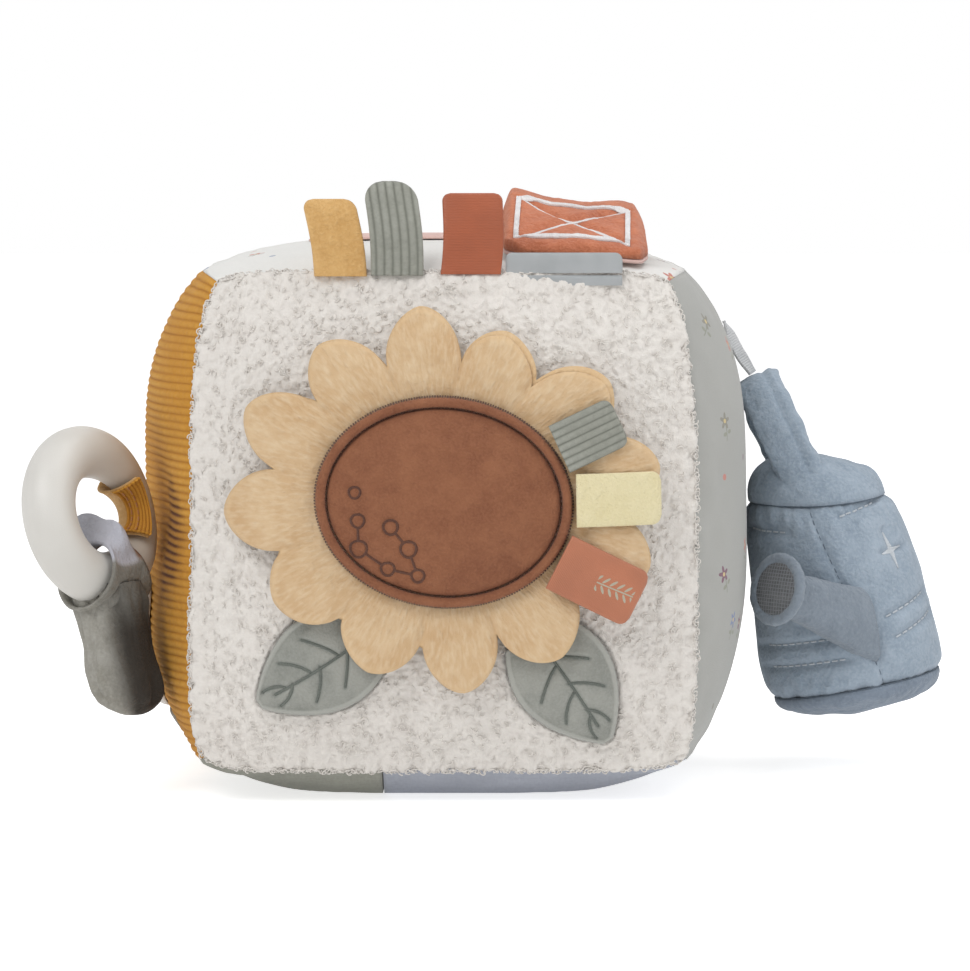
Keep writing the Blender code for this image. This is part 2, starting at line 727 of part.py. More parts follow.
def ring_frame():
    """Middle of the ring and its three directions: to the held side, up and along its axis."""
    turn, lean = math.radians(RING_TURN), math.radians(RING_LEAN)
    side = Vector((math.cos(turn), math.sin(turn), 0))
    level = Vector((math.sin(turn), -math.cos(turn), 0))
    up = math.cos(lean) * Vector((0, 0, 1)) - math.sin(lean) * level
    axis = side.cross(up)
    panel_x = surface_point("left", HOLLOW_Y, HOLLOW_Z).x
    limb = Vector((panel_x - LOOP_PANEL_GAP - RING_TUBE_RADIUS - LOOP_CLEARANCE, HOLLOW_Y, HOLLOW_Z))
    return limb - side * RING_RADIUS, side, up, axis


def ring_thinning(along):
    """How much thinner the ring's tube is here. It is thinnest where the loop holds it."""
    away = math.degrees(math.remainder(along, math.tau)) / RING_THIN_REACH
    return RING_THINNING * math.exp(-away * away)


def ring_point(frame, along, around, distance):
    """A point by its angle along the ring, its angle around the tube and its distance from it."""
    middle, side, up, axis = frame
    outward = math.cos(along) * side + math.sin(along) * up
    tube = math.cos(around) * outward + math.sin(around) * axis
    thin = ring_thinning(along)
    return middle + (RING_RADIUS + thin) * outward + (distance - thin) * tube


def make_ring(frame):
    middle, side, up, _ = frame
    pivot = make_pivot("teether_ring_hinge", middle + (RING_RADIUS + RING_THINNING) * side)

    def place(across, angle, height):
        around = math.atan2(height, across - 1)
        return ring_point(frame, angle, around, RING_TUBE_RADIUS)

    bm = warp_round(spun(unit_roll(RING_TUBE_STEPS), RING_STEPS, closed=True), place)
    finish("teether_ring", bm, "cream_silicone", pivot)
    print("ring turns about", tuple(round(value, 4) for value in up))
    return pivot


def flare(along, reach):
    """Room between ring and fabric: tight in the middle and wider at the fabric's ends."""
    return LOOP_CLEARANCE + LOOP_FLARE * (along / reach) ** 2


def make_loop(frame):
    """Two-layer strap round the ring's inner limb, open towards the side of the block."""
    reach = math.radians(LOOP_REACH)
    start = math.radians(LOOP_MOUTH_TURN + LOOP_MOUTH_HALF_ANGLE)
    end = math.radians(LOOP_MOUTH_TURN - LOOP_MOUTH_HALF_ANGLE) + math.tau
    layers = (
        ("loop_lining", RING_TUBE_RADIUS, "yellow_plush"),
        ("loop_strap", RING_TUBE_RADIUS + LOOP_LAYER + FIT_GAP, "ochre_corduroy"),
    )
    for name, inside, material in layers:

        def place(point, inside=inside):
            along = point.x * reach
            around = start + (end - start) * (point.y + 1) / 2
            distance = inside + flare(along, reach) + point.z * LOOP_LAYER
            return ring_point(frame, along, around, distance)

        finish(name, warp(sheet(*LOOP_STEPS), place), material)


def make_charm(frame, ring_pivot):
    """Velour toy under the ring: a sleeve on the lower limb and a stuffed body below it."""
    down = -math.pi / 2
    middle, side, up, _ = frame
    hinge = middle - RING_RADIUS * up
    pivot = make_pivot("velour_toy_hinge", hinge, ring_pivot)
    reach = math.radians(SLEEVE_REACH)

    def sleeve(across, angle, height):
        along = height * reach
        distance = RING_TUBE_RADIUS + flare(along, reach) + (across - 1) * SLEEVE_LAYER
        return ring_point(frame, down + along, angle, distance)

    profile = [(1, row) for row in SLEEVE_ROW_SHARES] + [(2, row) for row in reversed(SLEEVE_ROW_SHARES)]
    bm = spun(profile, CHARM_STEPS, closed=True)
    finish("velour_toy_sleeve", warp_round(bm, sleeve), "sage_velour", pivot)

    lean = math.radians(CHARM_LEAN)
    level = Vector((side.y, -side.x, 0))
    fall = Vector((math.sin(lean), 0, -math.cos(lean)))
    start = hinge + (RING_TUBE_RADIUS + LOOP_CLEARANCE + SLEEVE_LAYER + FIT_GAP) * fall

    def body(radius, angle, share):
        swell = radius * charm_swell(share)
        return (
            start
            + CHARM_LENGTH * (1 - math.cos(math.pi * share)) / 2 * fall
            + swell * math.cos(angle) * CHARM_HALF_WIDTH * side
            + swell * math.sin(angle) * CHARM_HALF_THICKNESS * level
        )

    rows = [row / CHARM_ROWS for row in range(1, CHARM_ROWS)]
    profile = [(0, 0)] + [(1, row) for row in rows] + [(0, 1)]
    finish("velour_toy_body", warp_round(spun(profile, CHARM_STEPS), body), "sage_velour", pivot)


def charm_swell(share):
    """Half-breadth share of the toy from its neck to its round lower end."""
    full = CHARM_NECK_SHARE + (1 - CHARM_NECK_SHARE) * share
    return full * math.sin(math.pi * share) ** CHARM_POWER


# Padded fleece shape on the left side


def make_side_pad():
    def place(radius, angle, side):
        edge = rounded_box_edge(angle, PAD_HALF_WIDTH, PAD_HALF_HEIGHT)
        y, z = PAD_Y + radius * edge * math.cos(angle), PAD_Z + radius * edge * math.sin(angle)
        high = PAD_EDGE_HEIGHT + (PAD_HEIGHT - PAD_EDGE_HEIGHT) * (1 - radius**CROWN_POWER)
        return on_face("left", y, z, PAD_SEAT_GAP + side * high)

    finish("side_fleece_pad", warp_round(disc(ROUND_STEPS, SLAB_RING_SHARES), place), "cream_fleece")
    for name, offset in FOOT_OFFSETS.items():
        foot_y = PAD_Y + offset
        foot_z = PAD_Z - PAD_HALF_HEIGHT - FOOT_HALF_HEIGHT - FIT_GAP

        def foot(point, foot_y=foot_y, foot_z=foot_z):
            y, z = foot_y + point.x * FOOT_HALF_WIDTH, foot_z + point.y * FOOT_HALF_HEIGHT
            return on_face("left", y, z, PAD_SEAT_GAP + point.z * FOOT_THICKNESS)

        finish(name, warp(sheet(FOOT_STEPS, FOOT_STEPS), foot), "sage_velour")


# Watering can on its ribbon


def can_frame():
    """Middle of the can and its three directions: right, back and up along its own axis."""
    lean = math.radians(CAN_LEAN)
    right = Vector((math.cos(lean), 0, math.sin(lean)))
    up = Vector((-math.sin(lean), 0, math.cos(lean)))
    return Vector((CAN_X, CAN_Y, CAN_Z)), right, Vector((0, 1, 0)), up


def can_radius(height_share):
    """Radius of the can's cover, from its base at -1 to its lid at 1."""
    if height_share > 0:
        return CAN_MIDDLE_RADIUS + (CAN_LID_RADIUS - CAN_MIDDLE_RADIUS) * height_share**2
    return CAN_MIDDLE_RADIUS + (CAN_BASE_RADIUS - CAN_MIDDLE_RADIUS) * height_share**2


def can_point(frame, radius, angle, height):
    middle, right, back, up = frame
    return (
        middle
        + radius * math.cos(angle) * right
        + radius * math.sin(angle) * CAN_DEPTH_SHARE * back
        + height * up
    )


def make_can(ribbon_pivot, hinge):
    frame = can_frame()
    pivot = make_pivot("watering_can_hinge", hinge, ribbon_pivot)
    half = CAN_HEIGHT / 2

    def wall(across, angle, height):
        radius = can_radius(height) - (2 - across) * CAN_COVER_THICKNESS
        return can_point(frame, radius, angle, height * half)

    profile = [(1, row) for row in CAN_ROW_SHARES] + [(2, row) for row in reversed(CAN_ROW_SHARES)]
    bm = spun(profile, CAN_STEPS, closed=True)
    finish("can_body_cover", warp_round(bm, wall), "blue_velour", pivot)

    inside = CAN_COVER_THICKNESS + FIT_GAP

    def filling(radius, angle, height):
        reach = radius * (can_radius(height) - inside)
        return can_point(frame, reach, angle, height * half)

    profile = [(0, -1)] + [(1, row) for row in CAN_ROW_SHARES] + [(0, 1)]
    finish("can_filling", warp_round(spun(profile, CAN_STEPS), filling), "polyester_filling", pivot)

    def disc_cover(name, sign, radius_full, crown):
        def place(radius, angle, side):
            dome = crown * (1 - radius**CROWN_POWER)
            height = half + FIT_GAP + side * (CAN_DISC_THICKNESS + dome)
            return can_point(frame, radius * radius_full, angle, sign * height)

        finish(name, warp_round(disc(CAN_STEPS, SLAB_RING_SHARES), place), "blue_velour", pivot)

    disc_cover("can_lid", 1, CAN_LID_RADIUS, CAN_LID_CROWN)
    disc_cover("can_base", -1, CAN_BASE_RADIUS, CAN_BASE_CROWN)
    make_handle(frame, pivot)
    make_spout(frame, pivot)


def lid_height(frame_x, frame_y):
    share = math.hypot(frame_x, frame_y / CAN_DEPTH_SHARE) / CAN_LID_RADIUS
    dome = CAN_LID_CROWN * (1 - min(share, 1) ** CROWN_POWER)
    return CAN_HEIGHT / 2 + FIT_GAP + CAN_DISC_THICKNESS + dome


def handle_path(frame, share):
    """Place and direction on the handle's arch, from its front foot to its back foot."""
    middle, right, back, up = frame
    lean = math.radians(HANDLE_LEAN)
    rise = math.cos(lean) * up - math.sin(lean) * right
    foot = lid_height(HANDLE_X, HANDLE_SPAN) + FIT_GAP + HANDLE_HALF_WIDTH * math.sin(lean)
    straight = HANDLE_HEIGHT - HANDLE_SPAN - HANDLE_HALF_THICKNESS
    arc = math.pi * HANDLE_SPAN
    total = 2 * straight + arc
    run = share * total
    if run < straight:
        flat, turn = Vector((-HANDLE_SPAN, run)), 0
    elif run > straight + arc:
        flat, turn = Vector((HANDLE_SPAN, total - run)), math.pi
    else:
        turn = (run - straight) / HANDLE_SPAN
        flat = Vector((-HANDLE_SPAN * math.cos(turn), straight + HANDLE_SPAN * math.sin(turn)))
    base = middle + HANDLE_X * right + foot * up
    place = base + flat.x * back + flat.y * rise
    outward = -math.cos(turn) * back + math.sin(turn) * rise
    across = math.cos(lean) * right + math.sin(lean) * up
    return place, outward, across


def make_handle(frame, pivot):
    profile = [(0, 0)] + [(1, step / HANDLE_STEPS) for step in range(HANDLE_STEPS + 1)] + [(0, 1)]

    def place(radius, angle, share):
        middle, outward, across = handle_path(frame, share)
        return (
            middle
            + radius * HANDLE_HALF_WIDTH * squared(math.cos(angle)) * across
            + radius * HANDLE_HALF_THICKNESS * squared(math.sin(angle)) * outward
        )

    finish("can_handle", warp_round(spun(profile, HANDLE_ROUND_STEPS), place), "blue_velour", pivot)


def squared(value):
    """Swells a circle's coordinate towards a rounded square's."""
    return math.copysign(abs(value) ** SQUARE_POWER, value)


def make_spout(frame, pivot):
    middle, right, back, up = frame
    along = Vector(SPOUT_DIRECTION).normalized()
    flat_x, flat_z = SPOUT_BASE
    radius = can_radius(flat_z / (CAN_HEIGHT / 2))
    reach = CAN_DEPTH_SHARE * math.sqrt(radius**2 - flat_x**2)
    start = middle + flat_x * right - (reach + SPOUT_SEAT_GAP) * back + flat_z * up
    tall = (up - up.dot(along) * along).normalized()
    wide = along.cross(tall)

    def spout(radius, angle, share):
        half_height = SPOUT_BASE_HALF_HEIGHT + share * (SPOUT_TIP_HALF_HEIGHT - SPOUT_BASE_HALF_HEIGHT)
        half_width = SPOUT_BASE_HALF_WIDTH + share * (SPOUT_TIP_HALF_WIDTH - SPOUT_BASE_HALF_WIDTH)
        lateral = radius * half_width * squared(math.cos(angle))
        height = radius * half_height * squared(math.sin(angle))
        flat = start + lateral * wide + height * tall
        tip = flat + SPOUT_LENGTH * along
        offset = flat - middle
        local_x, local_z = offset.dot(right), offset.dot(up)
        full = can_radius(local_z / (CAN_HEIGHT / 2))
        front = -CAN_DEPTH_SHARE * math.sqrt(max(full**2 - local_x**2, 0)) - SPOUT_SEAT_GAP
        shift = (front - offset.dot(back)) / along.dot(back)
        root = flat + shift * along
        return root.lerp(tip, share)

    profile = [(0, 0), (SPOUT_ROOT_SHARE, 0), (1, 0), (1, 0.5), (1, 1), (0, 1)]
    finish("can_spout", warp_round(spun(profile, SPOUT_STEPS), spout), "light_blue_velour", pivot)

    base = start + (SPOUT_LENGTH + FIT_GAP) * along

    def rose_point(radius, angle, height):
        return base + radius * (math.cos(angle) * wide + math.sin(angle) * tall) + height * along

    def rim(radius, angle, share):
        return rose_point(radius * ROSE_RADIUS, angle, share * ROSE_THICKNESS)

    inner = (ROSE_FACE_RADIUS + FIT_GAP) / ROSE_RADIUS
    crest = (inner + 1) / 2
    profile = [(0, 0.5), (inner, 0.5), (crest, 1), *((1, share) for share in ROSE_SHOULDER_SHARES), (crest, 0), (0, 0)]
    finish("can_rose_rim", warp_round(spun(profile, ROSE_STEPS), rim), "light_blue_velour", pivot)

    def face(radius, angle, side):
        height = ROSE_THICKNESS / 2 + FIT_GAP + side * ROSE_FACE_THICKNESS
        return rose_point(radius * ROSE_FACE_RADIUS, angle, height)

    finish("can_rose_face", warp_round(disc(ROSE_STEPS, (0.5,)), face), "charcoal_mesh", pivot)


def make_ribbon():
    """Flat ribbon from the block's upper right side to the top of the can's handle."""
    frame = can_frame()
    top, outward, _ = handle_path(frame, 0.5)
    end = top + (HANDLE_HALF_THICKNESS + FIT_GAP) * outward
    root = on_face("right", RIBBON_Y, RIBBON_Z, FIT_GAP + RIBBON_THICKNESS)
    run = (end - root).normalized()
    wide = Vector((0, 1, 0))
    thick = run.cross(wide)
    pivot = make_pivot("can_ribbon_hinge", root)

    def place(point):
        share = (point.x + 1) / 2
        middle = root.lerp(end, share)
        return middle + point.y * RIBBON_WIDTH / 2 * wide + (point.z - 0.5) * RIBBON_THICKNESS * thick

    finish("can_ribbon", warp(sheet(RIBBON_STEPS, 2), place), "grey_ribbon", pivot)
    return pivot, end


def main():
    clear_scene()
    make_block()
    make_flower()
    make_flower_tags()
    make_leaves()
    make_seam_tags()
    make_patch()
    make_flap()
    frame = ring_frame()
    make_loop(frame)
    ring_pivot = make_ring(frame)
    make_charm(frame, ring_pivot)
    make_side_pad()
    ribbon_pivot, hinge = make_ribbon()
    make_can(ribbon_pivot, hinge)


main()
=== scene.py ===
# %% [markdown]
# # A soft fabric activity block
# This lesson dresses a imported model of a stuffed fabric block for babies: fleece in front, corduroy
# on the left, printed jersey on the other sides, and a plush flower, tags, leaves, a teether ring
# and a hanging watering can sewn on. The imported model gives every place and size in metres, so the
# real fabric is built right where its plain solid lies.

import math

import bmesh
import bpy
import numpy as np
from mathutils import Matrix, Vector, kdtree, noise


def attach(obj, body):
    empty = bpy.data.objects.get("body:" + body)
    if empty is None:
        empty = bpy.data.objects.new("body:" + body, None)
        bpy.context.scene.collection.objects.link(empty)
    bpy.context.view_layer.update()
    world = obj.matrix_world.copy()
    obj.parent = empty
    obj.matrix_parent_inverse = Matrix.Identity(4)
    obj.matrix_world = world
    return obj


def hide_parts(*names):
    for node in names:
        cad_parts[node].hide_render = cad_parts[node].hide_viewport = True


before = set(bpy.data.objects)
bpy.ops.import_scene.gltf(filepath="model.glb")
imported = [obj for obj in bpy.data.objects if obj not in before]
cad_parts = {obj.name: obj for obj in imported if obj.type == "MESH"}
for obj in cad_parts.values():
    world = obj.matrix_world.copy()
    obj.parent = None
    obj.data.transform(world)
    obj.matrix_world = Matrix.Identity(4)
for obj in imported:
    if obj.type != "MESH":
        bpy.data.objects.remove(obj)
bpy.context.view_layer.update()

# %% [markdown]
# ## Camera, light and floor
# The block was photographed from straight ahead, a little above, with a long lens. A camera at the
# same place makes the two pictures line up. Soft light from a pale world and one large lamp keeps
# the colours of the cloth about as they are written.

# %% Place the camera
MM = 0.001
AIM = Vector((11.3, 0, 80.3)) * MM
DISTANCE = 1.2
ELEVATION = math.radians(4.5)
camera = bpy.data.objects.new("camera", bpy.data.cameras.new("camera"))
camera.data.sensor_width = 36
camera.data.lens = 157.7
camera.data.clip_start = 0.1
camera.location = AIM + DISTANCE * Vector((0, -math.cos(ELEVATION), math.sin(ELEVATION)))
camera.rotation_euler = (math.pi / 2 - ELEVATION, 0, 0)
bpy.context.scene.collection.objects.link(camera)
bpy.context.scene.camera = camera
bpy.context.scene.view_settings.view_transform = "Standard"
print("camera at", [round(value, 4) for value in camera.location])


# %% Hang the lamps
def area_lamp(name, place, size, watts):
    """A square lamp at a place, turned towards the middle of the block."""
    lamp = bpy.data.objects.new(name, bpy.data.lights.new(name, "AREA"))
    lamp.data.size = size
    lamp.data.energy = watts
    lamp.location = place
    lamp.rotation_euler = (AIM - Vector(place)).to_track_quat("-Z", "Y").to_euler()
    bpy.context.scene.collection.objects.link(lamp)
    return lamp


area_lamp("key_lamp", (-0.70, -1.15, 1.30), 0.9, 12.9)
area_lamp("fill_lamp", (1.4, -0.6, 0.9), 0.9, 3.6)
area_lamp("top_lamp", (0.55, -0.05, 1.45), 0.8, 6.5)
print("three soft lamps")

# %% [markdown]
# ## Writing materials as sums
# A node material is a sum of small steps. Two short classes let them be written as Python
# expressions: a Socket takes part in arithmetic, and a Paint adds any other node with one method.


# %% Wrap the sockets of a material
class Socket:
    """An output in a material. Arithmetic on it adds Math nodes."""

    def __init__(self, paint, output):
        self.paint = paint
        self.output = output

    def step(self, operation, *others):
        """Adds a Math node that starts from this value."""
        return self.paint.math(operation, self, *others)

    def others(self, *keys):
        """Outputs of the same node, by name or by place."""
        return [Socket(self.paint, self.output.node.outputs[key]) for key in keys]

    def __add__(self, other):
        return self.step("ADD", other)

    def __sub__(self, other):
        return self.step("SUBTRACT", other)

    def __rsub__(self, other):
        return self.paint.math("SUBTRACT", other, self)

    def __mul__(self, other):
        return self.step("MULTIPLY", other)

    def __pow__(self, other):
        return self.step("POWER", other)

    def __lt__(self, other):
        return self.step("LESS_THAN", other)

    def __gt__(self, other):
        return self.step("GREATER_THAN", other)

    __radd__ = __add__
    __rmul__ = __mul__


class Paint:
    """A material, its shader and the one method that adds a node."""

    def __init__(self, name, roughness, sheen=0.0):
        self.material = bpy.data.materials.new(name)
        self.material.use_nodes = True
        self.tree = self.material.node_tree
        self.shader = self.tree.nodes["Principled BSDF"]
        self.shader.inputs["Roughness"].default_value = roughness
        self.shader.inputs["Sheen Weight"].default_value = sheen
        self.shader.inputs["Sheen Roughness"].default_value = 0.6

    def node(self, kind, settings=None, sockets=None, output=0):
        made = self.tree.nodes.new(kind)
        for key, value in (settings or {}).items():
            if key == "stops":
                ramp = made.color_ramp.elements
                for _ in range(len(value) - len(ramp)):
                    ramp.new(0.5)
                for element, (place, colour) in zip(ramp, value):
                    element.position = place
                    element.color = (*colour, 1.0)
            else:
                setattr(made, key, value)
        for key, value in (sockets or {}).items():
            self.connect(made.inputs[key], value)
        return Socket(self, made.outputs[output])

    def math(self, operation, *values):
        return self.node("ShaderNodeMath", {"operation": operation}, dict(enumerate(values)))

    def connect(self, target, value):
        if isinstance(value, Socket):
            self.tree.links.new(value.output, target)
        elif isinstance(value, tuple) and len(value) == 3 and target.type == "RGBA":
            target.default_value = (*value, 1.0)
        else:
            target.default_value = value

    def part(self, name):
        """A value that the mesh itself carries, such as how deep a point lies in the pile."""
        return self.node("ShaderNodeAttribute", {"attribute_name": name}, output="Fac")

    def noise(self, scale, detail=2.0, where=None, stretch=None):
        where = where or self.node("ShaderNodeTexCoord", output="Object")
        if stretch:
            where = self.node("ShaderNodeMapping", None, {"Vector": where, "Scale": stretch})
        return self.node("ShaderNodeTexNoise", None, {"Vector": where, "Scale": scale, "Detail": detail})

    def mix(self, share, first, second):
        sockets = {0: share, 6: first, 7: second}
        return self.node("ShaderNodeMix", {"data_type": "RGBA"}, sockets, output=2)

    def ramp(self, value, low, high):
        """0 below low, 1 above high and a straight climb between."""
        return self.node("ShaderNodeMapRange", None, {"Value": value, "From Min": low, "From Max": high})

    def colour(self, value):
        self.connect(self.shader.inputs["Base Color"], value)

    def last_colour(self):
        """The colour that was given last, to be mixed with another."""
        return Socket(self, self.shader.inputs["Base Color"].links[0].from_socket)

    def rough(self, value):
        self.connect(self.shader.inputs["Roughness"], value)

    def relief(self, *layers):
        """Adds bumps, each a height from 0 to 1 and how far it stands out in metres."""
        normal = None
        for height, distance in layers:
            sockets = {"Height": height, "Distance": distance, "Strength": 1.0}
            if normal:
                sockets["Normal"] = normal
            normal = self.node("ShaderNodeBump", None, sockets)
        self.connect(self.shader.inputs["Normal"], normal)


print("material helpers ready")

# %% [markdown]
# ## Floor and background
# The floor is a pale sheet that still takes the object's soft shadow. To the camera the world is
# plain white, and it lights the cloth at a lower level, so that pale fleece keeps its shading.

# %% Lay the floor and paint the world
WORLD_LIGHT = 0.44
FLOOR_GLOW = 0.66
world = bpy.data.worlds.new("pale_world")
bpy.context.scene.world = world
world.use_nodes = True
background = world.node_tree.nodes["Background"]
seen = world.node_tree.nodes.new("ShaderNodeLightPath")
direct = world.node_tree.nodes.new("ShaderNodeMath")
direct.operation = "MAXIMUM"
world.node_tree.links.new(seen.outputs["Is Camera Ray"], direct.inputs[0])
world.node_tree.links.new(seen.outputs["Is Glossy Ray"], direct.inputs[1])
level = world.node_tree.nodes.new("ShaderNodeMapRange")
level.inputs["To Min"].default_value = WORLD_LIGHT
level.inputs["To Max"].default_value = 1.0
world.node_tree.links.new(direct.outputs[0], level.inputs["Value"])
world.node_tree.links.new(level.outputs[0], background.inputs["Strength"])
background.inputs["Color"].default_value = (1.0, 1.0, 1.0, 1.0)

bm = bmesh.new()
bmesh.ops.create_grid(bm, x_segments=1, y_segments=1, size=6)
bmesh.ops.translate(bm, verts=bm.verts[:], vec=(0, 0, -0.0002))
floor_mesh = bpy.data.meshes.new("floor")
bm.to_mesh(floor_mesh)
bm.free()
floor = bpy.data.objects.new("floor", floor_mesh)
bpy.context.scene.collection.objects.link(floor)
floor_paint = Paint("pale_floor", 0.9)
floor_paint.colour((0.80, 0.80, 0.80))
to_camera = floor_paint.node("ShaderNodeLightPath")
floor_paint.connect(floor_paint.shader.inputs["Emission Color"], to_camera * 0.5 + 0.5)
floor_paint.shader.inputs["Emission Strength"].default_value = FLOOR_GLOW
floor_mesh.materials.append(floor_paint.material)
print("floor and world ready")

# %% [markdown]
# ## The shape of the stuffed block
# A stuffed cube is a cushion with six sides. Each side is flat along its seams and swells towards
# its middle, and its corners are drawn in. One formula gives that surface, so that every panel,
# and everything sewn on a panel, can be placed on the same cloth.

# %% Write the block's surface as a formula
SEAM_HALF = np.array([67.0, 66.0, 66.0]) * MM
CENTRE_HEIGHT = 75.6 * MM
SIDE_CROWN = 17.0 * MM
FRONT_CROWN = 13.0 * MM
TOP_CROWN = 8.5 * MM
LOWER_CROWN = 14.0 * MM
CROWN_POWER = 3.6
CLOTH = 2.4 * MM
CORNER_SOFTENING = 0.045
HOLLOW_Y = -40.0 * MM
HOLLOW_Z = 76.5 * MM
CUBE_FACES = {
    "front": (1, -1, (0, 2)),
    "back": (1, 1, (0, 2)),
    "left": (0, -1, (1, 2)),
    "right": (0, 1, (1, 2)),
    "top": (2, 1, (0, 1)),
    "bottom": (2, -1, (0, 1)),
}


def fullness(a, b):
    return (1 - np.abs(a) ** CROWN_POWER) * (1 - np.abs(b) ** CROWN_POWER)


def hollow(y, z):
    across = (y * SEAM_HALF[1] - HOLLOW_Y) / (14 * MM)
    up = (CENTRE_HEIGHT + z * SEAM_HALF[2] - HOLLOW_Z) / (16 * MM)
    return 6.2 * MM * np.exp(-(across**2 + up**2) / 2)


def block_points(cube):
    """Points of the cube from -1 to 1, moved to where they lie in the stuffed block."""
    layer = np.abs(cube).max(1)
    x, y, z = (cube / layer[:, None]).T
    corner = (x * y * z) ** 2 * np.where(z > 0, 5.0 * MM, 0.5 * MM)
    half_width = SEAM_HALF[0] + SIDE_CROWN * fullness(y, z) - corner
    half_width = half_width - np.where(x < 0, hollow(y, z), 0)
    half_depth = SEAM_HALF[1] + FRONT_CROWN * fullness(x, z) - corner
    upper = SEAM_HALF[2] + TOP_CROWN * fullness(x, y)
    lower = np.minimum(SEAM_HALF[2] + LOWER_CROWN * fullness(x, y), CENTRE_HEIGHT)
    half_height = np.where(z > 0, upper, lower)
    place = np.stack([x * half_width, y * half_depth, z * half_height], 1)
    round_off = 1 - CORNER_SOFTENING * np.abs(x * y * z) ** 8
    return (layer * round_off)[:, None] * place + np.array([0, 0, CENTRE_HEIGHT])


def face_cube(face, u, v):
    """Points on one face of the cube."""
    axis, side, others = CUBE_FACES[face]
    cube = np.zeros((len(u), 3))
    cube[:, axis] = side
    cube[:, others[0]] = u
    cube[:, others[1]] = v
    return cube


def on_face(face, a, b, lift=0.0):
    """Points over a face at two of their coordinates, lifted straight off it."""
    axis, side, others = CUBE_FACES[face]
    middle = np.array([0, 0, CENTRE_HEIGHT])[list(others)]
    halves = SEAM_HALF[list(others)]
    u = (a - middle[0]) / halves[0]
    v = (b - middle[1]) / halves[1]
    for _ in range(12):
        points = block_points(face_cube(face, u, v))
        u = np.clip(u + (a - points[:, others[0]]) / halves[0], -1, 1)
        v = np.clip(v + (b - points[:, others[1]]) / halves[1], -1, 1)
    points = block_points(face_cube(face, u, v))
    points[:, axis] += side * lift
    return points


def smooth_step(value):
    value = np.clip(value, 0, 1)
    return value * value * (3 - 2 * value)


def hill(value, width):
    """1 at zero, and fading to nothing within a few widths on either side."""
    return np.exp(-((value / width) ** 2))


def wrapped(angle):
    """The same angle, from minus half a turn to half a turn."""
    return np.mod(angle + math.pi, math.tau) - math.pi


front_middle = on_face("front", np.zeros(1), np.full(1, CENTRE_HEIGHT))[0]
print("front panel stands out to", np.round(front_middle / MM, 1), "mm")

# %% [markdown]
# ## Sheets of cloth from a grid
# Nearly every piece here is cloth with two faces. A grid extruded once is a closed slab. Its unit
# coordinates then say where each point belongs, and one function moves them all into place. The
# slab can be finer on its outer face, where the pile or the ribs show.


# %% Make slabs, discs and finished pieces
def slab(columns, rows, fine=1):
    """A closed slab from -1 to 1 with its outer side at height 1, finer there if asked."""
    bm = bmesh.new()
    bmesh.ops.create_grid(bm, x_segments=columns, y_segments=rows, size=1)
    bmesh.ops.translate(bm, verts=bm.verts[:], vec=(0, 0, 1))
    made = bmesh.ops.extrude_face_region(bm, geom=bm.faces[:], use_keep_orig=True)
    for item in made["geom"]:
        if isinstance(item, bmesh.types.BMVert):
            item.co.z = 0
    if fine > 1:
        outer = [edge for edge in bm.edges if min(vert.co.z for vert in edge.verts) > 0.5]
        bmesh.ops.subdivide_edges(bm, edges=outer, cuts=fine - 1, use_grid_fill=True)
    return bm


def spun(profile, steps, closed=False):
    """Points (radius, height) turned about the upright axis into a closed body."""
    bm = bmesh.new()
    verts = [bm.verts.new((radius, 0, height)) for radius, height in profile]
    edges = [bm.edges.new(pair) for pair in zip(verts, verts[1:])]
    if closed:
        edges.append(bm.edges.new((verts[-1], verts[0])))
    geom = verts + edges
    bmesh.ops.spin(
        bm, geom=geom, cent=(0, 0, 0), axis=(0, 0, 1), angle=math.tau, steps=steps, use_merge=True
    )
    poles = [vert for vert in bm.verts if math.hypot(vert.co.x, vert.co.y) < 1e-5]
    bmesh.ops.remove_doubles(bm, verts=poles, dist=1e-5)
    return bm


def disc(steps, rings):
    """A closed round slab of radius 1 with its outer side at height 1."""
    shares = [ring / rings for ring in range(rings + 1)]
    upper = [(share, 1) for share in shares]
    lower = [(share, 0) for share in reversed(shares)]
    return spun(upper + lower, steps)


def tube(around, rows):
    """A round unit body from height 0 to 1 with a pole at each end."""
    profile = [(0, 0)] + [(1, row / rows) for row in range(rows + 1)] + [(0, 1)]
    return spun(profile, around)


def polar(unit):
    return np.hypot(unit[:, 0], unit[:, 1]), np.arctan2(unit[:, 1], unit[:, 0]), unit[:, 2]


def finish(name, bm, place, paint, body, nodes=(), crease=None):
    """Moves a unit shape into place with one function and makes it a piece of the model."""
    mesh = bpy.data.meshes.new(name)
    bm.to_mesh(mesh)
    bm.free()
    unit = np.empty(len(mesh.vertices) * 3)
    mesh.vertices.foreach_get("co", unit)
    placed = place(unit.reshape(-1, 3))
    points, carried = placed if isinstance(placed, tuple) else (placed, {})
    mesh.vertices.foreach_set("co", points.ravel())
    for key, values in carried.items():
        made = mesh.attributes.new(key, "FLOAT", "POINT")
        made.data.foreach_set("value", np.asarray(values, np.float32))
    turned = bmesh.new()
    turned.from_mesh(mesh)
    bmesh.ops.recalc_face_normals(turned, faces=turned.faces[:])
    if turned.calc_volume(signed=True) < 0:
        bmesh.ops.reverse_faces(turned, faces=turned.faces[:])
    turned.to_mesh(mesh)
    turned.free()
    mesh.shade_smooth()
    if crease:
        mesh.set_sharp_from_angle(angle=math.radians(crease))
    mesh.materials.append(paint.material)
    piece = bpy.data.objects.new(name, mesh)
    bpy.context.scene.collection.objects.link(piece)
    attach(piece, body)
    if nodes:
        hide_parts(*nodes)
    print(f"{name}: {len(mesh.polygons)} faces")
    return piece


def lumps(points, size, shift=0.0):
    """Smooth noise from about -1 to 1 with lumps of a size in metres."""
    moved = points / size + shift
    return np.array([noise.noise(point) for point in moved.tolist()])


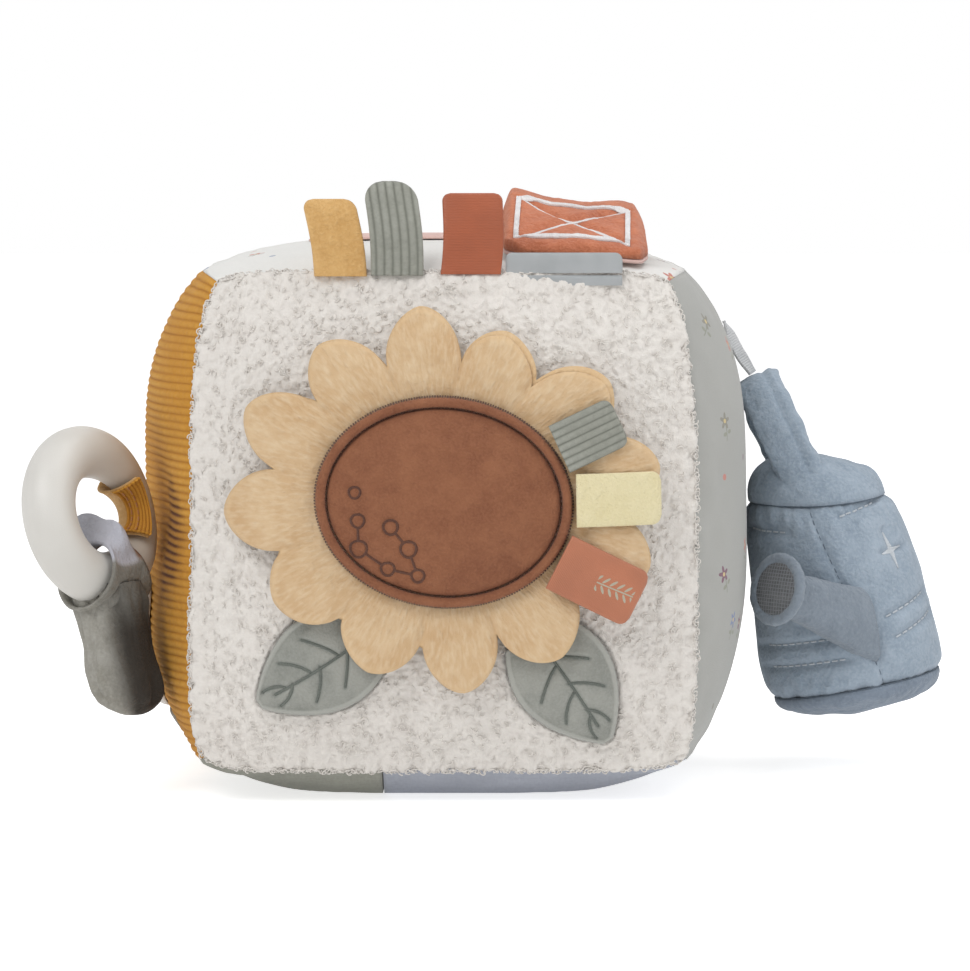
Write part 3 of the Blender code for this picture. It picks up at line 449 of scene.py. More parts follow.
# %% [markdown]
# ## Threads and stitches
# Embroidery and topstitching are real thread. A bevelled curve follows the seam, and many short
# curves in one object make a row of stitches. Each is turned into a mesh once it lies in place.


# %% Sew with thread
def thread(name, paths, radius, paint, body, sides=2):
    """Round thread along one or more paths, as one mesh."""
    curve = bpy.data.curves.new(name, "CURVE")
    curve.dimensions = "3D"
    curve.bevel_depth = radius
    curve.bevel_resolution = sides
    curve.use_fill_caps = True
    for path in paths:
        spline = curve.splines.new("POLY")
        spline.points.add(len(path) - 1)
        for point, place in zip(spline.points, path):
            point.co = (*place, 1.0)
    source = bpy.data.objects.new(name + "_curve", curve)
    mesh = bpy.data.meshes.new_from_object(source)
    bpy.data.objects.remove(source)
    bpy.data.curves.remove(curve)
    mesh.name = name
    mesh.shade_smooth()
    mesh.materials.clear()
    mesh.materials.append(paint.material)
    piece = bpy.data.objects.new(name, mesh)
    bpy.context.scene.collection.objects.link(piece)
    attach(piece, body)
    print(f"{name}: {len(mesh.polygons)} faces of thread")
    return piece


def resample(path, step):
    """Points along a path at about an even step."""
    path = np.asarray(path, float)
    gaps = np.linalg.norm(np.diff(path, axis=0), axis=1)
    run = np.concatenate([[0], np.cumsum(gaps)])
    places = np.linspace(0, run[-1], max(2, round(run[-1] / step) + 1))
    return np.stack([np.interp(places, run, path[:, axis]) for axis in range(3)], 1)


def stitches(path, length, gap, outward, rise):
    """Short arcs along a path: each stitch rises in its middle and dives at its ends."""
    fine = resample(path, (length + gap) / 6)
    rows = []
    for start in range(0, len(fine) - 4, 6):
        part = fine[start : start + 5]
        lift = rise * np.sin(np.linspace(0, math.pi, len(part)))
        rows.append(part + lift[:, None] * np.asarray(outward))
    return rows


def line_distance(place, lines):
    """Distance of flat places from the nearest of some straight lines."""
    nearest = np.full(len(place), 1.0)
    for start, end in lines:
        run = end - start
        share = np.clip(((place - start) @ run) / (run @ run), 0, 1)
        nearest = np.minimum(nearest, np.linalg.norm(place - start - share[:, None] * run, axis=1))
    return nearest


print("thread helpers ready")

# %% [markdown]
# ## Front panel: tufted fleece
# Bouclé fleece is a knitted backing with short curly tufts. Its look is small rounded clumps with
# soft pits between them, and a fluffy edge that laps over the seams. The clumps are real relief
# here: the outer face of the slab is fine, and each point rises by how near it lies to the middle
# of a tuft. Where the flower and the leaves are sewn on, the pile is pressed flat.


# %% Paint fleece
def fleece_paint(name, pit_shade, crest):
    """Curly pile: painted shade makes it darker and warmer in its pits, and pale on its clumps."""
    paint = Paint(name, 0.95, sheen=0.25)
    depth = paint.part("pile")
    cloud = paint.ramp(paint.noise(60, 3), 0.35, 0.7)
    strand = paint.noise(2300, 3)
    # Painted shade: the low pile takes the pit colour, the clumps the crest colour.
    shade = paint.mix(paint.ramp(depth, 0.0, 0.7), pit_shade, crest)
    warm = paint.mix(cloud * 0.30, shade, (0.715, 0.668, 0.628))
    paint.colour(paint.mix(paint.ramp(strand, 0.3, 0.75) * 0.14, warm, pit_shade))
    paint.relief((strand, 0.0002), (paint.noise(1100, 2), 0.0002))
    return paint


# The first colour is painted shade for the pits between the tufts.
FLEECE = fleece_paint("cream_fleece", (0.69, 0.653, 0.612), (0.75, 0.716, 0.673))
CURL = fleece_paint("cream_fleece_curl", (0.75, 0.715, 0.67), (0.75, 0.715, 0.67))


# %% Grow the tufts
def tuft_heights(a, b, spacing, seed):
    """Height from 0 to 1 of rounded tufts that stand at about an even spacing."""
    rng = np.random.default_rng(seed)
    columns = np.arange(a.min() - spacing, a.max() + spacing, spacing)
    rows = np.arange(b.min() - spacing, b.max() + spacing, spacing)
    middles = np.stack(np.meshgrid(columns, rows), -1).reshape(-1, 2)
    middles = middles + rng.uniform(-0.42, 0.42, middles.shape) * spacing
    radius = spacing * rng.uniform(0.5, 0.95, len(middles))
    height = rng.uniform(0.45, 1.0, len(middles))
    tree = kdtree.KDTree(len(middles))
    for index, (x, y) in enumerate(middles.tolist()):
        tree.insert((x, y, 0), index)
    tree.balance()
    result = np.zeros(len(a))
    for index, (x, y) in enumerate(zip(a.tolist(), b.tolist())):
        best = 0.0
        for _, tuft, away in tree.find_n((x, y, 0), 4):
            share = away / radius[tuft]
            if share < 1:
                best = max(best, height[tuft] * math.sqrt(1 - share * share))
        result[index] = best
    return result


print("tufts ready")

# %% [markdown]
# ## Outline of the flower
# Twelve petals of unlike length are cut as one shape. Its outline is an oval with a rounded lobe
# on each petal's direction. The same outline presses the fleece flat and shapes the plush.

# %% Write the flower's outline
FLOWER_X = 0.5 * MM
FLOWER_Z = 82.5 * MM
PETAL_REACH = 55.5 * MM
PETAL_DIRECTIONS = (97, 69, 36, 9, -18, -53, -84, -114, -149, -177, -205, -231)
PETAL_REACHES = (0.93, 0.86, 0.97, 1.04, 1.03, 0.93, 0.92, 0.89, 0.94, 1.05, 1.04, 0.95)
PETAL_ROUNDNESS = 1.6


def oval(angle, half_width, half_height):
    return 1 / np.hypot(np.cos(angle) / half_width, np.sin(angle) / half_height)


def petal_outline(angle):
    """Distance of the flower's edge, and how far across its petal each direction lies."""
    degrees = np.degrees(angle)
    valley = oval(angle, 45 * MM, 36.5 * MM)
    edge = valley.copy()
    across = np.ones(len(angle))
    count = len(PETAL_DIRECTIONS)
    for index, middle in enumerate(PETAL_DIRECTIONS):
        before = (PETAL_DIRECTIONS[index - 1] - middle) % 360 / 2
        after = (middle - PETAL_DIRECTIONS[(index + 1) % count]) % 360 / 2
        away = (degrees - middle + 180) % 360 - 180
        share = np.abs(away) / np.where(away > 0, before, after)
        inside = share <= 1
        lobe = (1 - np.clip(share, 0, 1) ** PETAL_ROUNDNESS) ** (1 / PETAL_ROUNDNESS)
        reach = PETAL_REACH * PETAL_REACHES[index]
        edge = np.where(inside, valley + (reach - valley) * lobe, edge)
        across = np.where(inside, share, across)
    return edge, across


def flower_polar(a, b):
    """Distance and direction of places on the front from the flower's middle."""
    return np.hypot(a - FLOWER_X, b - FLOWER_Z), np.arctan2(b - FLOWER_Z, a - FLOWER_X)


def petal_rise(distance):
    """How far the petals stand off the panel: more towards their tips."""
    return 0.3 * MM + 5.0 * MM * smooth_step((distance / PETAL_REACH - 0.35) / 0.65)


reach = petal_outline(np.radians(np.array(PETAL_DIRECTIONS, float)))[0]
print("petals reach", np.round(reach / MM, 1), "mm")

# %% [markdown]
# ## Outline of the leaves
# Two leaves come out from under the petals. Each runs from a cut root to a pointed tip, so its
# half width is a bent sine curve along its length.

# %% Write the leaves' outline
LEAF_LENGTH = 36 * MM
LEAF_HALF_WIDTH = 13.5 * MM
LEAVES = {
    "leaf_left": (np.array([-18.5, 47.5]) * MM, math.radians(-147)),
    "leaf_right": (np.array([24.0, 47.5]) * MM, math.radians(-56)),
}


def leaf_half_width(share):
    belly = np.sin(np.pi * np.clip(0.80 - 0.78 * share, 0, 1)) ** 0.8
    return LEAF_HALF_WIDTH * np.maximum(belly, 0.03)


def leaf_coordinates(name, a, b):
    """Share along a leaf and distance across it, for places on the front panel."""
    root, turn = LEAVES[name]
    along = np.array([math.cos(turn), math.sin(turn)])
    offset = np.stack([a, b], -1) - root
    return offset @ along / LEAF_LENGTH, offset @ np.array([-along[1], along[0]])


print("leaves are", round(2 * LEAF_HALF_WIDTH / MM), "mm wide")

# %% Make the front panel
PILE_LOW = -0.25 * MM
PILE_HIGH = 0.6 * MM
CURL_COUNT = 5300
CURL_BEND = 3.4


def pressed_under_trim(a, b, height):
    """Keeps the pile below what is sewn on it."""
    distance, angle = flower_polar(a, b)
    under = distance < petal_outline(angle)[0] + 1.0 * MM
    height = np.where(under, np.minimum(height, petal_rise(distance) - 0.9 * MM), height)
    for name in LEAVES:
        share, across = leaf_coordinates(name, a, b)
        inside = (share > -0.02) & (share < 1.02)
        inside &= np.abs(across) < leaf_half_width(share) + 0.4 * MM
        height = np.where(inside, np.minimum(height, -0.5 * MM), height)
    return height


def front_fleece(unit):
    u, v, outer = unit.T
    a, b = u * SEAM_HALF[0], CENTRE_HEIGHT + v * SEAM_HALF[2]
    points = block_points(face_cube("front", u, v) * (1 - CLOTH / SEAM_HALF[1] * (1 - outer))[:, None])
    swirl = np.stack([lumps(points, 2.0 * MM, 3.0), lumps(points, 2.0 * MM, 11.0)], 1) * 0.8 * MM
    crest = tuft_heights(a + swirl[:, 0], b + swirl[:, 1], 1.6 * MM, 5)
    crest = np.clip(crest * 0.85 + 0.3 * lumps(points, 1.1 * MM, 20.0), 0, 1)
    near_u = 1 - smooth_step((1 - np.abs(u)) * SEAM_HALF[0] / (6 * MM))
    near_v = 1 - smooth_step((1 - np.abs(v)) * SEAM_HALF[2] / (6 * MM))
    height = PILE_LOW + (PILE_HIGH - PILE_LOW) * crest
    height = pressed_under_trim(points[:, 0], points[:, 2], height)
    loose = 1 - smooth_step((v - 0.85) / 0.1)
    fringe = 1.15 + (1.2 * lumps(points, 4.0 * MM, 9.0) + 0.4 * lumps(points, 1.5 * MM, 5.0)) * loose
    height = height + fringe * MM * np.maximum(near_u, near_v)
    ways = np.stack([np.sign(u) * near_u, -np.ones(len(u)), np.sign(v) * near_v], 1)
    ways = ways / np.linalg.norm(ways, axis=1)[:, None]
    shift = np.stack([swirl[:, 0], np.zeros(len(u)), swirl[:, 1]], 1) * 0.5
    moved = points + (ways * height[:, None] + shift * crest[:, None]) * outer[:, None]
    # The pile height also sets the painted shade in the pits.
    return moved, {"pile": crest}


front = finish(
    "front_panel_fleece", slab(25, 25, 12), front_fleece, FLEECE, "block", ["front_panel"]
)


# %% Add loose curls
def fleece_curls():
    """Short bent fibres all over the pile, and a fringe of them along the seams."""
    rng = np.random.default_rng(17)
    u, v = rng.uniform(-1, 1, (2, CURL_COUNT))
    edge_count = CURL_COUNT // 3
    side = rng.choice([-1.0, 1.0], edge_count)
    along_u = rng.random(edge_count) < 0.5
    u[:edge_count] = np.where(along_u, side, u[:edge_count])
    v[:edge_count] = np.where(along_u, v[:edge_count], side)
    points = block_points(face_cube("front", u, v))
    x, z = points[:, 0], points[:, 2]
    distance, angle = flower_polar(x, z)
    keep = distance > petal_outline(angle)[0] - 0.5 * MM
    for name in LEAVES:
        share, across = leaf_coordinates(name, x, z)
        keep &= (share < -0.05) | (share > 1.05) | (np.abs(across) > leaf_half_width(share) + 1.0 * MM)
    near_u, near_v = np.abs(u) ** 24, np.abs(v) ** 24
    outward = np.stack([np.sign(u) * near_u, -np.ones(len(u)), np.sign(v) * near_v], 1)
    outward = outward / np.linalg.norm(outward, axis=1)[:, None]
    paths = []
    for index in np.flatnonzero(keep):
        normal = outward[index]
        first = np.cross(normal, rng.normal(size=3))
        first = first / np.linalg.norm(first)
        second = np.cross(normal, first) + normal * rng.uniform(-0.1, 0.9)
        size = rng.uniform(0.45, 0.95) * MM
        turns = np.linspace(0, CURL_BEND * rng.uniform(0.5, 1.0), 6)
        bend = size * (np.outer(np.cos(turns), first) + np.outer(np.sin(turns), second))
        lift = rng.uniform(0.2, 0.75) * MM + 0.5 * MM * max(near_u[index], near_v[index])
        paths.append(points[index] + bend + normal * lift)
    return paths


thread("front_panel_curls", fleece_curls(), 0.17 * MM, CURL, "block", 0)

# %% [markdown]
# ## Left panel: ochre corduroy
# Corduroy is ribbed velvet. Its ribs run from front to back, about 2 mm apart. Painted shade
# darkens the grooves, a painted highlight lightens the rib crests in patches, and a painted shadow
# darkens the pile beside the ring's strap. The slab is fine up and down, so each rib is real
# relief, and the cloth puckers a little along its seams.


# %% Paint corduroy
# Painted shadow: dark brown laid on the corduroy beside the ring's strap.
PAINTED_SHADOW_TONE = (0.115, 0.034, 0.006)


def corduroy_paint(name, groove, rib, crest_highlight):
    """Ribbed pile: painted shade in the groove, a soft rib and a painted highlight on the crest."""
    paint = Paint(name, 0.92, sheen=0.03)
    depth = paint.part("rib")
    nap = paint.noise(620, 3)
    cloud = paint.ramp(paint.noise(38, 2), 0.35, 0.68)
    # Painted shade: the grooves take the groove colour.
    base = paint.mix(paint.ramp(depth, 0.05, 0.7), groove, rib)
    # Painted highlight: the rib crests turn paler in patches.
    crest = paint.mix(paint.ramp(depth, 0.6, 1.0) * cloud, base, crest_highlight)
    brushed = paint.mix(paint.ramp(nap, 0.35, 0.75) * 0.3, crest, groove)
    # Painted shadow beside the strap, darkest in the grooves.
    paint.colour(paint.mix(paint.part("pressed") * (1.0 - paint.ramp(depth, 0.45, 0.95) * 0.75), brushed, PAINTED_SHADOW_TONE))
    paint.relief((nap, 0.0003), (paint.noise(2200, 2), 0.0002))
    return paint


# The first colour is painted shade for the grooves, the last a painted highlight on the rib crests.
OCHRE_CORDUROY = corduroy_paint(
    "ochre_corduroy", (0.40, 0.165, 0.014), (0.55, 0.255, 0.028), (0.63, 0.325, 0.05)
)
# Where the painted shadow lies on the left panel, and its half size.
SHADOW_MIDDLE = np.array([-50.0, 69.0]) * MM
SHADOW_HALF = np.array([10.0, 16.0]) * MM
RIB_PITCH = 2.1 * MM


def pucker(points, u, v, size=7.0, depth=0.9):
    """Small gathers along the seams, which fade out within a finger's width of them."""
    near = np.maximum(np.abs(u), np.abs(v))
    share = smooth_step((near - 0.72) / 0.2) * (1 - smooth_step((near - 0.985) / 0.015))
    return lumps(points, size * MM, 4.0) * share * depth * MM


def side_cloth(face, u, v, outer, lift):
    """A panel's points at a thickness, with a lift of its outer side along the face."""
    cube = face_cube(face, u, v) * (1 - CLOTH / SEAM_HALF[0] * (1 - outer))[:, None]
    points = block_points(cube)
    axis, side, _ = CUBE_FACES[face]
    points[:, axis] += side * lift * outer
    return points


def left_corduroy(unit):
    u, v, outer = unit.T
    run = v * SEAM_HALF[2]
    rib = np.abs(np.cos(np.pi * run / RIB_PITCH)) ** 0.7
    near = np.maximum(np.abs(u), np.abs(v))
    fade = 1 - smooth_step((near - 0.97) / 0.03)
    flat = side_cloth("left", u, v, outer, 0)
    lift = (rib - 0.5) * 0.55 * MM * fade + pucker(flat, u, v)
    moved = side_cloth("left", u, v, outer, lift)
    away = np.hypot(*((moved[:, 1:] - SHADOW_MIDDLE) / SHADOW_HALF).T)
    # The share of the painted shadow, with ragged edges.
    return moved, {"rib": rib, "pressed": 1 - smooth_step((away + 0.3 * lumps(moved, 5 * MM, 2.0) - 0.7) / 0.5)}


left = finish(
    "left_panel_corduroy", slab(36, 460), left_corduroy, OCHRE_CORDUROY, "block", ["left_panel"],
)

# %% [markdown]
# ## Right, top and back panels: printed jersey
# Jersey is a smooth fine knit. Small flowers, sprigs and dots are printed on it far apart, so the
# print is a pattern in the material: scattered cells, each with its own middle, its own turn and
# one of a few muted inks.


# %% Paint jersey with a scattered print
PRINT_INKS = (
    (0.0, (0.21, 0.11, 0.15)),
    (0.3, (0.52, 0.20, 0.16)),
    (0.5, (0.26, 0.25, 0.21)),
    (0.68, (0.20, 0.24, 0.38)),
    (0.85, (0.55, 0.33, 0.12)),
)


def jersey_paint(name, across, up, tone):
    """Fine knit with a print whose plane is given by two of the axes."""
    paint = Paint(name, 0.85, sheen=0.15)
    place = paint.node("ShaderNodeTexCoord", output="Object")
    first, second = paint.node("ShaderNodeSeparateXYZ", None, {0: place}).others(across, up)
    flat = paint.node("ShaderNodeCombineXYZ", None, {0: first, 1: second})
    cells = {"voronoi_dimensions": "2D", "feature": "F1"}
    found = paint.node("ShaderNodeTexVoronoi", cells, {"Vector": flat, "Scale": 52.0, "Randomness": 0.7})
    chance, middle = found.others("Color", "Position")
    local = paint.node("ShaderNodeVectorMath", {"operation": "SUBTRACT"}, {0: flat, 1: middle})
    ink_lot, turn_lot, kind_lot = paint.node("ShaderNodeSeparateColor", None, {0: chance}).others(0, 1, 2)
    spin = {"Vector": local, "Angle": (turn_lot - 0.5) * 1.6}
    turned = paint.node("ShaderNodeVectorRotate", {"rotation_type": "Z_AXIS"}, spin)
    p, q = paint.node("ShaderNodeSeparateXYZ", None, {0: turned}).others(0, 1)
    top = q - 0.0012
    radius = (p * p + top * top) ** 0.5
    angle = top.step("ARCTAN2", p)
    petals = (angle * 5).step("COSINE")
    bloom = radius < (petals * 0.0007 + 0.0017)
    heart = radius < 0.0006
    bend = p + q * q * 60
    stem = (bend.step("ABSOLUTE") < 0.00022) * (q < 0.0) * (q > -0.0042)
    leaf_x = p.step("ABSOLUTE") - 0.0013
    leaf_y = q + 0.0022
    leaf = (leaf_x * leaf_x * 0.35 + leaf_y * leaf_y) < 0.00000032
    dot = radius < 0.0009
    sprig_low = kind_lot > 0.34
    dots_only = kind_lot < 0.34
    inks = paint.node("ShaderNodeValToRGB", {"stops": PRINT_INKS}, {0: ink_lot})
    inks.output.node.color_ramp.interpolation = "CONSTANT"
    cloud = paint.ramp(paint.noise(26, 2), 0.3, 0.7)
    knit = paint.noise(1700, 2, stretch=(1.0, 1.0, 2.2))
    base = paint.mix(cloud, tone, tuple(value * 1.06 for value in tone))
    base = paint.mix(paint.ramp(knit, 0.4, 0.8) * 0.25, base, tuple(value * 0.86 for value in tone))
    flower = paint.mix(bloom * sprig_low, base, inks)
    flower = paint.mix(heart * sprig_low, flower, (0.60, 0.48, 0.25))
    flower = paint.mix(stem * sprig_low * 0.85, flower, (0.25, 0.26, 0.21))
    flower = paint.mix(leaf * sprig_low * 0.85, flower, (0.27, 0.28, 0.22))
    paint.colour(paint.mix(dot * dots_only * 0.9, flower, inks))
    paint.relief((knit, 0.00012))
    return paint


# Painted shade: the right and back panels are the same jersey as the top, painted at about half its brightness.
SHADED_JERSEY_TONE = (0.37, 0.37, 0.35)
RIGHT_JERSEY = jersey_paint("right_jersey_shaded", "Y", "Z", SHADED_JERSEY_TONE)
TOP_JERSEY = jersey_paint("top_jersey", "X", "Y", (0.73, 0.725, 0.701))
BACK_JERSEY = jersey_paint("back_jersey_shaded", "X", "Z", SHADED_JERSEY_TONE)


# %% Make the jersey panels
def smooth_cloth(face, size, depth):
    """A smooth panel with soft dents in its middle and gathers along its seams."""

    def place(unit):
        u, v, outer = unit.T
        flat = side_cloth(face, u, v, outer, 0)
        near = np.maximum(np.abs(u), np.abs(v))
        dents = lumps(flat, 34 * MM, 9.0) * 0.7 * MM * (1 - smooth_step((near - 0.8) / 0.2))
        return side_cloth(face, u, v, outer, dents + pucker(flat, u, v, size, depth))

    return place


for face, paint in (("right", RIGHT_JERSEY), ("top", TOP_JERSEY), ("back", BACK_JERSEY)):
    cloth = finish(
        face + "_panel_jersey", slab(110, 110), smooth_cloth(face, 8.0, 1.0), paint, "block",
        [face + "_panel"],
    )

# %% [markdown]
# ## Underside: two plain cloths
# The underside is pieced from sage and light blue-grey cloth. It is flat where the block stands
# and puckers round its rim, where the filling pushes it out over the seams.


# %% Paint and make the underside
def cloth_paint(name, light, dark, weave=1500):
    """Plain woven cloth: crossing threads, and slow changes of tone."""
    paint = Paint(name, 0.9, sheen=0.1)
    warp = paint.noise(weave, 2, stretch=(1.0, 0.25, 0.25))
    weft = paint.noise(weave, 2, stretch=(0.25, 1.0, 1.0))
    cross = (warp + weft) * 0.5
    cloud = paint.ramp(paint.noise(30, 2), 0.3, 0.7)
    tone = paint.mix(cloud, light, tuple(value * 0.9 for value in light))
    paint.colour(paint.mix(paint.ramp(cross, 0.42, 0.62) * 0.5, tone, dark))
    paint.relief((cross, 0.0002))
    return paint


SAGE_CLOTH = cloth_paint("sage_fabric", (0.294, 0.294, 0.25), (0.206, 0.206, 0.175))
BLUE_CLOTH = cloth_paint("blue_fabric", (0.379, 0.399, 0.452), (0.293, 0.306, 0.359))
BOTTOM_SPLIT = -0.243


def underside(low, high):
    def place(unit):
        s, v, outer = unit.T
        u = low + (high - low) * (s + 1) / 2
        flat = side_cloth("bottom", u, v, outer, 0)
        lift = pucker(flat, u, v, 10.0, 1.6) * np.clip(flat[:, 2] / (6 * MM), 0, 1)
        return side_cloth("bottom", u, v, outer, lift)

    return place


for name, paint, low, high in (
    ("bottom_panel_sage", SAGE_CLOTH, -0.998, BOTTOM_SPLIT - 0.003),
    ("bottom_panel_blue", BLUE_CLOTH, BOTTOM_SPLIT + 0.003, 0.998),
):
    slot = "sage_fabric" if "sage" in name else "blue_fabric"
    cloth = finish(name + "_cloth", slab(60, 100), underside(low, high), paint, "block", [name])

# %% Stuff the block
FIBRES = cloth_paint("white_polyester_fibre", (0.78, 0.77, 0.75), (0.60, 0.59, 0.57), 700)
FILLING_GAP = 0.9 * MM


def stuffing(unit):
    """Loose fibre that fills the block and stays just under its cloth."""
    points = block_points(unit * (1 - (CLOTH + FILLING_GAP) / SEAM_HALF[1]))
    tufts = 0.006 * (1 + lumps(points, 7 * MM, 6.0))
    return points + (np.array([0, 0, CENTRE_HEIGHT]) - points) * tufts[:, None]


bm = bmesh.new()
bmesh.ops.create_cube(bm, size=2)
bmesh.ops.subdivide_edges(bm, edges=bm.edges[:], cuts=27, use_grid_fill=True)
filling = finish("block_filling_fibre", bm, stuffing, FIBRES, "block", ["filling"])

# %% [markdown]
# ## Petals: two layers of yellow plush
# The flower is cut from short-pile plush, front and back, and turned inside out after sewing, so
# each petal has a soft rolled rim. The pile is brushed outward and leaves fine streaks. On the
# upper right the back layer peeps out past the front one.


# %% Paint plush
def plush_paint(name, deep, fair, tip, fibre=900.0, streak=0.4, sheen=0.15, where=None):
    """Short brushed pile: soft patches where it lies another way, and fine fibres on top."""
    paint = Paint(name, 0.9, sheen)
    route = where(paint) if where else None
    cloud = paint.ramp(paint.noise(70, 2), 0.35, 0.68)
    patch = paint.ramp(paint.noise(230, 3), 0.35, 0.65)
    nap = paint.noise(fibre, 4, route)
    base = paint.mix(cloud * 0.55 + patch * 0.45, deep, fair)
    paint.colour(paint.mix(paint.ramp(nap, 0.42, 0.72) * streak, base, tip))
    paint.relief((nap, 0.0004), (patch, 0.0003))
    return paint


def brushed_outward(paint):
    """Coordinates that run with the petals, so that noise along them makes radial streaks."""
    parts = {0: paint.part("round_x"), 1: paint.part("round_y"), 2: paint.part("along") * 0.22}
    return paint.node("ShaderNodeCombineXYZ", None, parts)


PETAL_PLUSH = plush_paint(
    "yellow_plush_petals", (0.535, 0.345, 0.178), (0.63, 0.455, 0.272), (0.72, 0.58, 0.395),
    1500.0, 0.5, where=brushed_outward,
)
rim_share = PETAL_PLUSH.ramp(PETAL_PLUSH.part("rim"), 0.1, 0.9)
PETAL_PLUSH.colour(PETAL_PLUSH.mix(rim_share * 0.55, PETAL_PLUSH.last_colour(), (0.67, 0.465, 0.25)))
print("petal plush ready")

# %% Make the petals
LAYER = 1.2 * MM
GAP = 0.3 * MM
PETAL_PUFF = 1.2 * MM


def over_flower(distance, angle, lift):
    """Points over the fleece by their distance and angle from the flower's middle."""
    a = FLOWER_X + distance * np.cos(angle)
    b = FLOWER_Z + distance * np.sin(angle)
    return on_face("front", a, b, lift)


def petal_top(distance, angle):
    """Height of the front layer's outer face over the fleece, without its crease and pile."""
    edge = petal_outline(angle)[0]
    inside = smooth_step((1 - distance / edge) / 0.25)
    return petal_rise(distance) + GAP + 2 * LAYER + PETAL_PUFF * inside


def rolled(from_edge, width):
    """Share of full height near an edge that is rolled over."""
    inward = 1 - np.clip(from_edge / width, 0, 1)
    return np.sqrt(np.clip(1 - inward * inward, 0, 1))


def streak_values(distance, angle, rim):
    return {
        "round_x": 0.03 * np.cos(angle),
        "round_y": 0.03 * np.sin(angle),
        "along": distance,
        "rim": rim,
    }


def petals_back(unit):
    radius, angle, outer = polar(unit)
    edge = petal_outline(angle)[0]
    distance = radius * edge
    full = LAYER * (0.35 + 0.65 * rolled(edge - distance, 1.0 * MM))
    low = petal_rise(distance) + (LAYER - full) / 2
    return over_flower(distance, angle, low + outer * full), streak_values(distance, angle, radius**8)


def petals_front(unit):
    radius, angle, outer = polar(unit)
    edge, across = petal_outline(angle)
    peep = hill(np.degrees(angle) - 52, 24)
    reach = edge - (0.4 + 1.7 * peep) * MM
    distance = radius * reach
    low = petal_rise(distance) + GAP + LAYER
    high = petal_top(distance, angle)
    notch = (1 - across) * 0.26 * distance
    far = smooth_step((distance / edge - 0.66) / 0.3)
    crease = hill(notch, 1.5 * MM) * far * 0.55 * MM
    soft = np.stack([distance * np.cos(angle), distance * np.sin(angle), 0 * angle], 1)
    bumps = lumps(soft, 5.5 * MM, 7.0) * 0.28 * MM + lumps(soft, 1.1 * MM, 1.0) * 0.1 * MM
    from_edge = reach - distance
    roll = 0.4 + 0.6 * rolled(from_edge, 1.9 * MM)
    top = low + (high - low - crease + bumps * smooth_step(from_edge / (2 * MM))) * roll
    rim = hill(from_edge, 1.1 * MM)
    return over_flower(distance, angle, np.where(outer > 0.5, top, low)), streak_values(distance, angle, rim)


turns = np.linspace(0, math.tau, 720, endpoint=False)
petal_area = (petal_outline(turns)[0] ** 2).mean() * math.pi
petals = finish(
    "petals_back_plush", disc(300, 30), petals_back, PETAL_PLUSH, "block", ["flower_petals_back"],
)
petals = finish(
    "petals_front_plush", disc(300, 70), petals_front, PETAL_PLUSH, "block", ["flower_petals_front"]
)
print("petals cut from", round(petal_area * 1e4, 1), "square centimetres")

# %% [markdown]
# ## Flower centre: brown minky
# The centre is a stuffed oval of very short pile. A rolled rim of the same cloth goes round it,
# sewn down with dark thread on its outer edge, and a stitched groove separates it from the pad.
# Seven small seed rings are embroidered low on the left, and their stitches pull the pad in.

# %% Paint minky and shape the centre
EGG_HALF = (33.7 * MM, 27.5 * MM)
EGG_TURN = math.radians(-5)
RIM_WIDTH = 2.6 * MM
SEED_PLACES = np.array(
    [(-22.8, 85.3), (-22.0, 77.9), (-21.8, 70.5), (-13.4, 76.3), (-8.7, 70.5), (-14.2, 65.2), (-6.3, 63.4)]
) * MM
SEED_RADII = np.array([1.5, 1.75, 2.2, 1.9, 2.1, 1.75, 1.7]) * MM
SEED_LINKS = ((1, 2), (2, 5), (5, 6), (6, 4), (4, 3))
MINKY = plush_paint(
    "brown_minky_pile", (0.187, 0.062, 0.026), (0.272, 0.105, 0.047), (0.338, 0.142, 0.069), 1500.0, 0.35,
    0.05,
)
DARK_THREAD = plush_paint(
    "dark_brown_thread", (0.075, 0.026, 0.014), (0.11, 0.04, 0.02), (0.16, 0.06, 0.035), 2500.0
)


def egg_outline(angle):
    turned = angle - EGG_TURN
    return oval(turned, *EGG_HALF)


def seed_distance(a, b):
    """Distance of places on the flower centre from the nearest embroidered line."""
    place = np.stack([a, b], -1)
    nearest = line_distance(place, [seed_link(*link) for link in SEED_LINKS])
    for middle, radius in zip(SEED_PLACES, SEED_RADII):
        away = np.linalg.norm(place - middle, axis=1)
        nearest = np.minimum(nearest, np.abs(away - radius))
    return nearest


def seed_link(first, second):
    """The line between two seed rings, from rim to rim."""
    run = SEED_PLACES[second] - SEED_PLACES[first]
    way = run / np.linalg.norm(run)
    return SEED_PLACES[first] + way * SEED_RADII[first], SEED_PLACES[second] - way * SEED_RADII[second]


def centre_height(distance, angle):
    """Height of the pad over the petals, with its groove and its sunk embroidery."""
    inner = egg_outline(angle) - RIM_WIDTH - GAP
    share = distance / inner
    dome = 2.2 * MM + 4.0 * MM * (1 - np.clip(share, 0, 1) ** CROWN_POWER)
    a, b = FLOWER_X + distance * np.cos(angle), FLOWER_Z + distance * np.sin(angle)
    sunk = 0.8 * MM * hill(seed_distance(a, b), 0.75 * MM)
    soft = np.stack([a, b, 0 * a], 1)
    dents = lumps(soft, 16 * MM, 2.0) * 0.45 * MM + lumps(soft, 3.0 * MM, 8.0) * 0.08 * MM
    roll = rolled(inner - distance, 1.4 * MM)
    return (dome - sunk + dents) * (0.55 + 0.45 * roll)


def centre_cover(unit):
    radius, angle, outer = polar(unit)
    distance = radius * (egg_outline(angle) - RIM_WIDTH - GAP)
    seat = petal_top(distance, angle) + GAP
    return over_flower(
        distance, angle, seat + np.where(outer > 0.5, centre_height(distance, angle), 0.2 * MM)
    )


